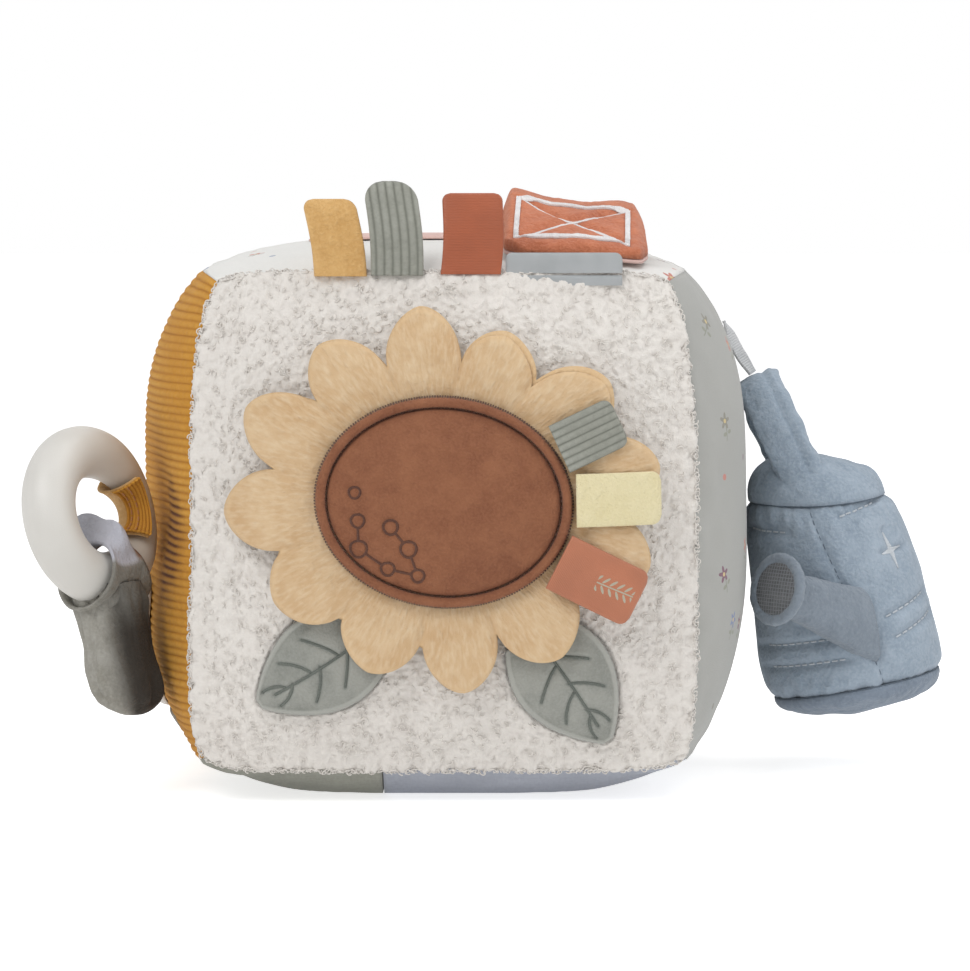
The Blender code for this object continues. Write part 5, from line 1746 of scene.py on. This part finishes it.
# The last colour is painted shade for the side turned towards the block.
SAGE_VELOUR = velour_paint(
    "sage_velour_pile", (0.214, 0.203, 0.171), (0.332, 0.321, 0.289), (0.428, 0.417, 0.374),
    (0.015, 0.009, 0.004),
)
toy_hinge = ring_middle - RING_RADIUS * ring_up
toy_lean = math.radians(12)
toy_fall = np.array([math.sin(toy_lean), 0, -math.cos(toy_lean)])
TOY_LENGTH = 38.0 * MM
SLEEVE_REACH = math.radians(24)
BUNCH_HIGH = 8.5 * MM
SADDLE = RING_TUBE + LOOP_CLEARANCE + 1.3 * MM + GAP


def toy_sleeve(unit):
    """Cloth round the ring's lower limb, lined in lilac where it faces the ring."""
    radius, angle, height = polar(unit)
    along = height * 2 * SLEEVE_REACH
    outer = (radius - 1) * 2
    layer = 1.3 * MM * (0.5 + 0.5 * outer)
    soft = np.stack([np.cos(angle), np.sin(angle), height * 2], 1)
    bunch = (1 - (2 * height) ** 2) * (1 + 0.8 * height) * smooth_step((-np.cos(angle) - 0.35) / 0.65) * BUNCH_HIGH
    crumple = lumps(soft, 0.8, 2.0) * 0.5 * MM * outer + bunch * (0.15 + 0.85 * outer) * (1 + 0.25 * lumps(soft, 0.5, 5.0))
    distance = RING_TUBE + flare(along, SLEEVE_REACH) * (0.85 + 0.15 * outer) + 0.35 * MM + layer * outer * 0.5 + crumple
    to_hole = smooth_step((-np.cos(angle) - 0.15) / 0.2)
    near_edge = smooth_step((height - 0.38) / 0.05)
    # Painted shade: nap darkens the fold on the side turned towards the block, away from the hole.
    marks = {"nap": 0.35 * smooth_step(np.sin(angle)) * (1 - to_hole), "lilac": to_hole * (1 - near_edge)}
    marks["seam"] = to_hole * near_edge
    return ring_points(-math.pi / 2 + along, angle, distance), marks


def toy_body(unit):
    """The hanging bag: its upper end is a saddle that fits under the sleeve."""
    radius, angle, share = polar(unit)
    belly = 1 - 0.10 * np.sin(math.pi * share) + 0.04 * np.sin(9 * share)
    tip = np.clip((share - 0.62) / 0.38, 0, 1)
    narrow = np.sqrt(np.maximum(1 - tip**2.4, 0)) * belly
    half_side = (9.6 + 3.2 * smooth_step(share / 0.7)) * MM * narrow
    half_level = (9.9 - 0.6 * smooth_step(share / 0.4)) * MM * narrow
    s = radius * half_side * np.cos(angle)
    t = radius * half_level * np.sin(angle)
    drop = TOY_LENGTH * share
    saddle = np.sqrt(np.maximum(SADDLE**2 - t * t, 0)) + 0.3 * MM
    drop = np.where(share < 1e-6, saddle - 1.2 * MM * (1 - radius), np.maximum(drop, 0))
    side_wrinkle = np.stack([s * 1.6, t * 1.6, drop * 0.28], 1)
    crumple = lumps(side_wrinkle, 5.2 * MM, 3.0) * 1.7 + lumps(side_wrinkle, 2.2 * MM, 6.0) * 0.65
    crumple = crumple * MM * smooth_step(share / 0.16) * smooth_step((1 - share) / 0.12)
    seam_side = hill(wrapped(angle + math.pi / 2), 0.16)
    ridge = seam_side * (0.55 + 0.5 * np.sin(drop / (1.3 * MM))) * 0.8 * MM * smooth_step(share / 0.1)
    out = 1 + (crumple + ridge) * radius / (9 * MM)
    points = toy_hinge + np.outer(drop, toy_fall) + np.outer(s * out, ring_side) + np.outer(
        t * out, ring_level
    )
    # Painted shade: the nap value darkens the side that faces the block.
    toward_block = np.cos(angle) * ring_side[0] + np.sin(angle) * ring_level[0]
    nap = 0.97 * smooth_step((toward_block + 0.35) / 0.9) * smooth_step((radius - 0.5) / 0.3)
    return points, {"nap": nap * (0.6 + 0.4 * smooth_step(share * 2.5))}


sleeve_profile = [(1, row / 20 - 0.5) for row in range(21)] + [(1.5, row / 20 - 0.5) for row in range(20, -1, -1)]
finish(
    "velour_toy_fold", spun(sleeve_profile, 72, closed=True), toy_sleeve, SAGE_VELOUR, "velour_toy",
    ["velour_toy_sleeve"],
)
toy_profile = [(ring / 16, 0) for ring in range(17)] + [(1, row / 90) for row in range(1, 90)] + [(0, 1)]
toy = finish(
    "velour_toy_pile", spun(toy_profile, 120), toy_body, SAGE_VELOUR, "velour_toy", ["velour_toy_body"],
)

# %% [markdown]
# ## Padded fleece shape with feet
# Low on the left side lies a small padded shape of the same fleece, a sheep's body seen from the
# side, with two velour feet under it. Only its front edge shows from the front.

# %% Make the pad and its feet
PAD_MIDDLE = np.array([3.0, 39.0]) * MM
PAD_HALF = np.array([40.0, 18.5]) * MM
PAD_SEAT = 0.5 * MM


def side_pad(unit):
    radius, angle, outer = polar(unit)
    wave = 1 - 0.035 * (0.5 - 0.5 * np.cos(11 * angle)) * smooth_step((radius - 0.6) / 0.4)
    edge = radius * box_edge(angle, *PAD_HALF) * wave
    y, z = PAD_MIDDLE[0] + edge * np.cos(angle), PAD_MIDDLE[1] + edge * np.sin(angle)
    flat = np.stack([y, z, 0 * y], 1)
    tuft = tuft_heights(y, z, 2.0 * MM, 8)
    from_edge = (1 - radius) * PAD_HALF[1]
    high = 2.0 * MM + 3.5 * MM * (1 - radius**CROWN_POWER) + (tuft * 1.5 - 0.6) * MM + lumps(flat, 9 * MM, 5.0) * 0.5 * MM
    high = high * (0.35 + 0.65 * rolled(from_edge, 2.5 * MM))
    # The pile height also sets the painted shade in the pits.
    return on_face("left", y, z, PAD_SEAT + outer * high), {"pile": np.clip(tuft, 0, 1)}


pad = finish("side_pad_fleece", disc(220, 76), side_pad, FLEECE, "block", ["side_fleece_pad"])
for name, offset in (("side_foot_front", -22.0 * MM), ("side_foot_back", 22.0 * MM)):

    def foot(unit, offset=offset):
        x, y = unit[:, 0], unit[:, 1]
        round_x = x * np.sqrt(1 - 0.32 * y * y)
        round_y = y * np.sqrt(1 - 0.32 * x * x)
        a = PAD_MIDDLE[0] + offset + round_x * 6.0 * MM
        b = PAD_MIDDLE[1] - PAD_HALF[1] - 5.3 * MM + round_y * 5.0 * MM
        roll = rolled((1 - np.maximum(np.abs(x), np.abs(y))) * 5 * MM, 1.6 * MM)
        return on_face("left", a, b, PAD_SEAT + unit[:, 2] * 1.8 * MM * (0.4 + 0.6 * roll)), {"nap": 0 * x}

    finish(name + "_velour", slab(40, 36), foot, SAGE_VELOUR, "block", [name])

# %% [markdown]
# ## Watering can
# The can is a small stuffed toy of blue velour: a bag with a puffed lid and a base sewn in, a long
# strap handle, and a spout that ends in a rose, a rolled rim round dark netting. Its seams pull the
# cloth into short wrinkles, and white thread marks its bands and a star.

# %% Place the can
CAN_MIDDLE = np.array([111.6, 6.0, 51.8]) * MM
CAN_LEAN = math.radians(11)
CAN_DEPTH = 0.84
can_right = np.array([math.cos(CAN_LEAN), 0, math.sin(CAN_LEAN)])
can_up = np.array([-math.sin(CAN_LEAN), 0, math.cos(CAN_LEAN)])
CAN_LOW = -28.2 * MM
CAN_HIGH = 24.0 * MM
CAN_SEAM_LOW = 23.8 * MM
CAN_SEAM_HIGH = 19.2 * MM
CAN_DROOP = 0.13
CAN_SAG = 3.5
CAN_SHIFT = 1.4 * MM


def can_place(radius, angle, height):
    """Points by their distance from the can's own axis, angle about it and height along it."""
    level = radius * np.cos(angle)
    sideways = np.outer(level, can_right)
    sideways[:, 1] += radius * np.sin(angle) * CAN_DEPTH
    high = np.clip(height / CAN_HIGH, 0, 1)
    droop = (CAN_DROOP - CAN_SAG * level) * level * high
    return CAN_MIDDLE + sideways + np.outer(height - droop, can_up) - np.outer(CAN_SHIFT * high, can_right)


def can_share(height):
    return np.clip((height - CAN_LOW) / (CAN_HIGH - CAN_LOW), 0, 1)


def can_radius(height):
    """Radius of the stuffed body: it swells between its upper and its lower seam."""
    share = can_share(height)
    seam = CAN_SEAM_LOW + (CAN_SEAM_HIGH - CAN_SEAM_LOW) * share
    return seam + 2.8 * MM * (1 - np.abs(2 * share - 1) ** 3.0) ** 0.7


def can_seam_angle(height):
    """The upright seam crosses the front slantwise."""
    return math.radians(-74) - math.radians(28) * can_share(height)


CAN_BANDS = (
    ((4.4, 20.8), (16.4, 23.0)),
    ((-21.4, 17.6), (-11.4, 17.2)),
    ((11.2, -9.6), (23.4, -6.0)),
    ((12.9, -15.8), (25.0, -12.0)),
    ((-23.8, -12.6), (-4.6, -12.8)),
    ((-23.6, -18.8), (-2.6, -19.0)),
)
STAR_MIDDLE = np.array([17.0, 8.4])
STAR_REACHES = (3.3, 6.0)


def sewn_depth(angle, height):
    """Share of full depth at which the front of the can is pulled in by a sewn line."""
    place = np.stack([can_radius(height) * np.cos(angle), height], -1)
    ways = np.array([(STAR_REACHES[0], 0), (-1.0, STAR_REACHES[1])])
    star = [(STAR_MIDDLE - way, STAR_MIDDLE + way) for way in ways]
    nearest = line_distance(place, np.array([*CAN_BANDS, *star]) * MM)
    return hill(nearest, 1.3 * MM) * (np.sin(angle) < 0)


def can_skin(angle, height):
    """Radius of the velour: swelling, gathers at both seams, dents and the upright seam."""
    share = can_share(height)
    ring = np.stack([np.cos(angle), np.sin(angle), height / (60 * MM)], 1)
    near = hill(share, 0.16) + hill(1 - share, 0.16)
    gathers = lumps(ring, 0.13, 5.0) * near * 1.0 * MM
    dents = lumps(ring, 0.55, 1.0) * 1.3 * MM + lumps(ring, 0.2, 8.0) * 0.35 * MM
    seam = hill(wrapped(angle - can_seam_angle(height)) * 24 * MM, 0.8 * MM) * 0.9 * MM
    tuck = (hill(share, 0.03) + hill(1 - share, 0.03)) * 0.9 * MM
    swell = gathers + dents * (1 - 0.6 * near.clip(0, 1))
    return can_radius(height) + swell - seam - tuck - sewn_depth(angle, height) * 1.3 * MM


# %% Make the body, the lid and the base
BLUE_VELOUR = plush_paint(
    "blue_velour_pile", (0.232, 0.294, 0.364), (0.333, 0.401, 0.477), (0.441, 0.503, 0.576), 1100.0, 0.4
)
LIGHT_VELOUR = plush_paint(
    "light_blue_velour_pile", (0.176, 0.212, 0.256), (0.226, 0.267, 0.317), (0.275, 0.319, 0.369), 1100.0, 0.4
)
# Painted shade: the base is the same blue velour as the body, painted darker because it faces down.
SHADED_BASE_VELOUR = plush_paint(
    "blue_velour_base_shaded", (0.154, 0.192, 0.243), (0.205, 0.25, 0.314), (0.269, 0.32, 0.39), 1100.0, 0.4
)


def can_body(unit):
    radius, angle, share = polar(unit)
    height = CAN_LOW + (CAN_HIGH - CAN_LOW) * share
    return can_place(radius * can_skin(angle, height), angle, height)


body = finish(
    "can_body_velour", tube(180, 120), can_body, BLUE_VELOUR, "watering_can",
    ["can_body_cover", "can_filling"],
)


def can_end(sign, seam_height, seam_radius, crown, flat):
    """A puffed end: a dome with soft lumps, tucked in at its seam."""

    def place(unit):
        radius, angle, outer = polar(unit)
        disc_place = np.stack([radius * np.cos(angle), radius * np.sin(angle), np.full(len(radius), sign)], 1)
        soft = lumps(disc_place, 0.75, 4.0) * 2.0 * MM + lumps(disc_place, 0.28, 7.0) * 0.6 * MM
        gathers = lumps(np.stack([np.cos(angle), np.sin(angle), radius * 0.3], 1), 0.12, 2.0) * 0.7 * MM
        dome = crown * (1 - radius**flat) ** 0.6
        fade = smooth_step((1 - radius) / 0.35)
        high = 1.2 * MM + dome + soft * fade + gathers * smooth_step((radius - 0.55) / 0.3) * smooth_step((1 - radius) / 0.08)
        swell = 1 + 0.025 * np.sin(math.pi * np.clip((radius - 0.7) / 0.3, 0, 1)) * outer
        height = seam_height + sign * (GAP + outer * high)
        return can_place(radius * swell * seam_radius, angle, height)

    return place


lid = finish(
    "can_lid_velour", disc(160, 50), can_end(1, CAN_HIGH, CAN_SEAM_HIGH, 12.4 * MM, 2.4), BLUE_VELOUR,
    "watering_can", ["can_lid"],
)
# The base takes the velour painted darker as shade.
base = finish(
    "can_base_velour", disc(160, 40), can_end(-1, CAN_LOW, CAN_SEAM_LOW, 6.2 * MM, 2.1), SHADED_BASE_VELOUR,
    "watering_can", ["can_base"],
)

# %% Sew the can
def on_can(side, height, lift):
    """Places on the front of the can's velour, from sideways place and height."""
    angle = -np.arccos(np.clip(side / can_radius(height), -0.995, 0.995))
    return can_place(can_skin(angle, height) + lift, angle, height)


CAN_THREAD = plush_paint(
    "pale_blue_thread", (0.52, 0.56, 0.60), (0.64, 0.68, 0.72), (0.75, 0.78, 0.81), 3000.0
)
rows = []
for start, end in CAN_BANDS:
    side = np.linspace(start[0], end[0], 40) * MM
    height = np.linspace(start[1], end[1], 40) * MM
    rows.extend(stitches(on_can(side, height, 0.1 * MM), 2.0 * MM, 0.25 * MM, (0, -1, 0), 0.15 * MM))
for turn in range(4):
    way = np.array([math.cos(turn * math.pi / 2 + 0.15), math.sin(turn * math.pi / 2 + 0.15)])
    for spread in (-0.6, -0.2, 0.2, 0.6):
        start = STAR_MIDDLE + spread * np.array([-way[1], way[0]])
        tip = STAR_MIDDLE + way * STAR_REACHES[turn % 2] * (1 - 0.25 * abs(spread))
        line = np.linspace(start, tip, 5) * MM
        rows.append(on_can(line[:, 0], line[:, 1], 0.15 * MM))
thread("can_stitches", rows, 0.26 * MM, CAN_THREAD, "watering_can", 1)
seam_heights = np.linspace(CAN_LOW + 1 * MM, CAN_HIGH - 1 * MM, 80)
seam_angles = can_seam_angle(seam_heights)
seam_line = can_place(can_skin(seam_angles, seam_heights) - 0.05 * MM, seam_angles, seam_heights)
DARK_BLUE_THREAD = plush_paint(
    "dark_blue_thread", (0.11, 0.145, 0.19), (0.15, 0.19, 0.24), (0.21, 0.26, 0.31), 3000.0
)
rows = stitches(seam_line, 1.8 * MM, 0.6 * MM, (0, -1, 0), 0.1 * MM)
for height, radius in ((CAN_LOW - GAP / 2, CAN_SEAM_LOW), (CAN_HIGH + GAP / 2, CAN_SEAM_HIGH)):
    around = np.linspace(0, math.tau, 181)
    rows.append(can_place(np.full(181, radius - 0.6 * MM), around, np.full(181, height)))
thread("can_seam_stitches", rows, 0.2 * MM, DARK_BLUE_THREAD, "watering_can", 1)

# %% [markdown]
# ## Handle and ribbon
# The handle is a stuffed strap bent into an arch, seen edge-on from the front. Its feet are sewn
# into the lid. A flat grey ribbon holds it to the block's upper side.

# %% Make the handle
CAD_LEAN = math.radians(14)
cad_right = np.array([math.cos(CAD_LEAN), 0, math.sin(CAD_LEAN)])
cad_up = np.array([-math.sin(CAD_LEAN), 0, math.cos(CAD_LEAN)])
HANDLE_LEAN = math.radians(11)
HANDLE_SPAN = 10.5 * MM
HANDLE_HALF = np.array([6.5, 2.9]) * MM
handle_rise = math.cos(HANDLE_LEAN) * cad_up - math.sin(HANDLE_LEAN) * cad_right
handle_across = math.cos(HANDLE_LEAN) * cad_right + math.sin(HANDLE_LEAN) * cad_up
HANDLE_HEIGHT = 26.6 * MM
HANDLE_SINK = 6.0 * MM
HANDLE_SIDE = -6.0 * MM
LID_TOP = 34.0 * MM
LID_DOME = 3.2 * MM
FOOT_PLACE = math.hypot(-3.0, 10.5 / CAN_DEPTH) / 21.8
HANDLE_FOOT = LID_TOP + LID_DOME * (1 - FOOT_PLACE**CROWN_POWER) + HANDLE_HALF[0] * math.sin(HANDLE_LEAN)
handle_top_height = HANDLE_HEIGHT - HANDLE_HALF[1]
handle_foot = np.array([113.4, 6.0, 52.0]) * MM + HANDLE_SIDE * cad_right + HANDLE_FOOT * cad_up


def handle_frame(share):
    """Places on the arch's middle line and its outward direction."""
    straight = handle_top_height - HANDLE_SPAN + HANDLE_SINK
    arc = math.pi * HANDLE_SPAN
    total = 2 * straight + arc
    run = share * total
    turn = np.clip((run - straight) / HANDLE_SPAN, 0, math.pi)
    rise = np.where(run < straight, run, np.where(run > straight + arc, total - run, straight)) - HANDLE_SINK
    flat = -HANDLE_SPAN * np.cos(turn)
    high = rise + HANDLE_SPAN * np.sin(turn)
    outward = -np.cos(turn)[:, None] * np.array([0, 1, 0]) + np.outer(np.sin(turn), handle_rise)
    return handle_foot + flat[:, None] * np.array([0, 1, 0]) + np.outer(high, handle_rise), outward


def squared(value):
    return np.sign(value) * np.abs(value) ** 0.7


def handle(unit):
    radius, angle, share = polar(unit)
    middle, outward = handle_frame(share)
    wave = np.stack([np.cos(angle), np.sin(angle), share * 9], 1)
    crumple = lumps(wave, 0.8, 3.0) * 0.14 + lumps(wave, 0.35, 9.0) * 0.05
    seam = hill(wrapped(angle - math.radians(70)), 0.17) * 0.26
    swell = radius * (1 + crumple - seam)
    across = swell * HANDLE_HALF[0] * squared(np.cos(angle))
    out = swell * HANDLE_HALF[1] * squared(np.sin(angle))
    return middle + np.outer(across, handle_across) + out[:, None] * outward


arch = finish(
    "can_handle_velour", tube(64, 150), handle, BLUE_VELOUR, "watering_can", ["can_handle"]
)

# %% Make the ribbon
RIBBON_ROOT = on_face("right", np.array([6.0 * MM]), np.array([126.5 * MM]), GAP + 1.2 * MM)[0]
top_middle, top_outward = handle_frame(np.array([0.5]))
RIBBON_END = (top_middle + (HANDLE_HALF[1] + GAP) * top_outward)[0]


def ribbon_paint():
    paint = Paint("grey_ribbon_weave", 0.5, sheen=0.1)
    run, side = paint.part("along"), paint.part("across")
    rib = (run * 9000).step("SINE")
    selvedge = side.step("ABSOLUTE") > 0.0014
    cloud = paint.ramp(paint.noise(200, 2), 0.3, 0.7)
    base = paint.mix(cloud, (0.50, 0.51, 0.52), (0.60, 0.61, 0.62))
    base = paint.mix(paint.ramp(rib, -0.6, 0.8) * 0.4, base, (0.42, 0.43, 0.44))
    paint.colour(paint.mix(selvedge * 0.5, base, (0.68, 0.69, 0.70)))
    paint.relief((rib * 0.5 + 0.5, 0.0001))
    return paint


def ribbon(unit):
    share = (unit[:, 0] + 1) / 2
    run = RIBBON_END - RIBBON_ROOT
    way = run / np.linalg.norm(run)
    level = np.array([0, 1, 0])
    upright = np.cross(way, level)
    twist = np.radians(60 * smooth_step(share / 0.35) - 30 * smooth_step((share - 0.65) / 0.35))[:, None]
    wide = np.cos(twist) * level + np.sin(twist) * upright
    thick = np.cos(twist) * upright - np.sin(twist) * level
    across = unit[:, 1] * 1.8 * MM * (1 - 0.08 * np.sin(math.pi * share))
    height = (unit[:, 2] - 0.5) * 0.9 * MM
    sag = -0.5 * MM * np.sin(math.pi * share)
    points = RIBBON_ROOT + np.outer(share, run) + np.outer(sag, upright) + across[:, None] * wide + height[:, None] * thick
    return points, {"along": share * np.linalg.norm(run), "across": across}


finish("can_ribbon_weave", slab(60, 12), ribbon, ribbon_paint(), "ribbon", ["can_ribbon"])

# %% [markdown]
# ## Spout and rose
# The spout is a tapered stuffed tube sewn to the can's front. It carries the rose: a thick rolled
# ring of fluffy velour with dark netting drawn across it.

# %% Make the spout
SPOUT_BASE = (4.6 * MM, -10.6 * MM)
SPOUT_WAY = np.array([-0.80, -0.48, 0.36]) / math.sqrt(0.80**2 + 0.48**2 + 0.36**2)
SPOUT_LENGTH = 31.0 * MM
SPOUT_ROOT_HALF = (5.6 * MM, 10.5 * MM)
SPOUT_TIP_HALF = (4.4 * MM, 5.4 * MM)
ROSE_TURN = np.array([-0.75, -0.63, 0.20]) / math.sqrt(0.75**2 + 0.63**2 + 0.20**2)
spout_start = on_can(np.array([SPOUT_BASE[0]]), np.array([SPOUT_BASE[1]]), -2.0 * MM)[0]
spout_tall = can_up - (can_up @ SPOUT_WAY) * SPOUT_WAY
spout_tall = spout_tall / np.linalg.norm(spout_tall)
spout_wide = np.cross(SPOUT_WAY, spout_tall)


def spout(unit):
    radius, angle, share = polar(unit)
    half_wide = SPOUT_ROOT_HALF[0] + (SPOUT_TIP_HALF[0] - SPOUT_ROOT_HALF[0]) * share
    half_tall = SPOUT_ROOT_HALF[1] + (SPOUT_TIP_HALF[1] - SPOUT_ROOT_HALF[1]) * share
    wave = np.stack([np.cos(angle), np.sin(angle), share * 3], 1)
    crumple = 1 + lumps(wave, 0.7, 2.0) * 0.05 + lumps(wave, 0.25, 5.0) * 0.03
    crease = hill(wrapped(angle - math.radians(20)), 0.2) * 0.05
    swell = radius * (crumple - crease)
    across = swell * half_wide * squared(np.cos(angle))
    high = swell * half_tall * squared(np.sin(angle))
    tall = np.outer(1 - share, can_up) + np.outer(share, spout_tall)
    return spout_start + np.outer(share * SPOUT_LENGTH, SPOUT_WAY) + np.outer(across, spout_wide) + high[:, None] * tall


nozzle = finish(
    "can_spout_velour", tube(72, 60), spout, LIGHT_VELOUR, "watering_can", ["can_spout"]
)

# %% Make the rose
ROSE_RADIUS = 10.2 * MM
ROSE_ROLL = 1.6 * MM
rose_middle = spout_start + (SPOUT_LENGTH + 1.0 * MM) * SPOUT_WAY
rose_tall = np.array([0, 0, 1.0]) - ROSE_TURN[2] * ROSE_TURN
rose_tall = rose_tall / np.linalg.norm(rose_tall)
rose_wide = np.cross(ROSE_TURN, rose_tall)


def rose_place(radius, angle, height):
    flat = np.outer(radius * np.cos(angle), rose_wide) + np.outer(radius * np.sin(angle), rose_tall)
    return rose_middle + flat + np.outer(height, ROSE_TURN)


def rose_roll(unit):
    radius, angle, height = polar(unit)
    around = np.arctan2(height, radius - 1)
    wave = np.stack([np.cos(angle) * 3, np.sin(angle) * 3, around * 0.5], 1)
    thick = ROSE_ROLL * (1 + 0.16 * lumps(wave, 0.5, 4.0))
    distance = ROSE_RADIUS - ROSE_ROLL + thick * np.cos(around)
    return rose_place(distance, angle, thick * np.sin(around) * 0.9)


roll = finish(
    "can_rose_roll", spun(ring_profile(28), 120, closed=True), rose_roll, LIGHT_VELOUR, "watering_can",
    ["can_rose_rim"],
)


def netting_paint():
    """Dark netting: a square lattice of threads over darker cloth."""
    paint = Paint("charcoal_netting", 0.8, sheen=0.1)
    run, side = paint.part("along"), paint.part("across")
    first = (run * 6200).step("SINE")
    second = (side * 6200).step("SINE")
    lattice = paint.ramp(first.step("MAXIMUM", second), 0.55, 0.95)
    cloud = paint.ramp(paint.noise(400, 2), 0.3, 0.7)
    base = paint.mix(cloud, (0.10, 0.105, 0.115), (0.16, 0.165, 0.175))
    paint.colour(paint.mix(lattice * 0.8, base, (0.27, 0.285, 0.305)))
    paint.relief((lattice, 0.00025))
    return paint


def rose_face(unit):
    radius, angle, outer = polar(unit)
    distance = radius * (ROSE_RADIUS - 1.5 * ROSE_ROLL)
    sag = 0.7 * MM * (1 - radius * radius)
    points = rose_place(distance, angle, 0.2 * MM + sag + (outer - 0.5) * 1.2 * MM)
    return points, {"along": distance * np.cos(angle), "across": distance * np.sin(angle)}


finish(
    "can_rose_netting", disc(72, 20), rose_face, netting_paint(), "watering_can", ["can_rose_face"],
)

# %% [markdown]
# ## Close

# %% Finish
print("finished")
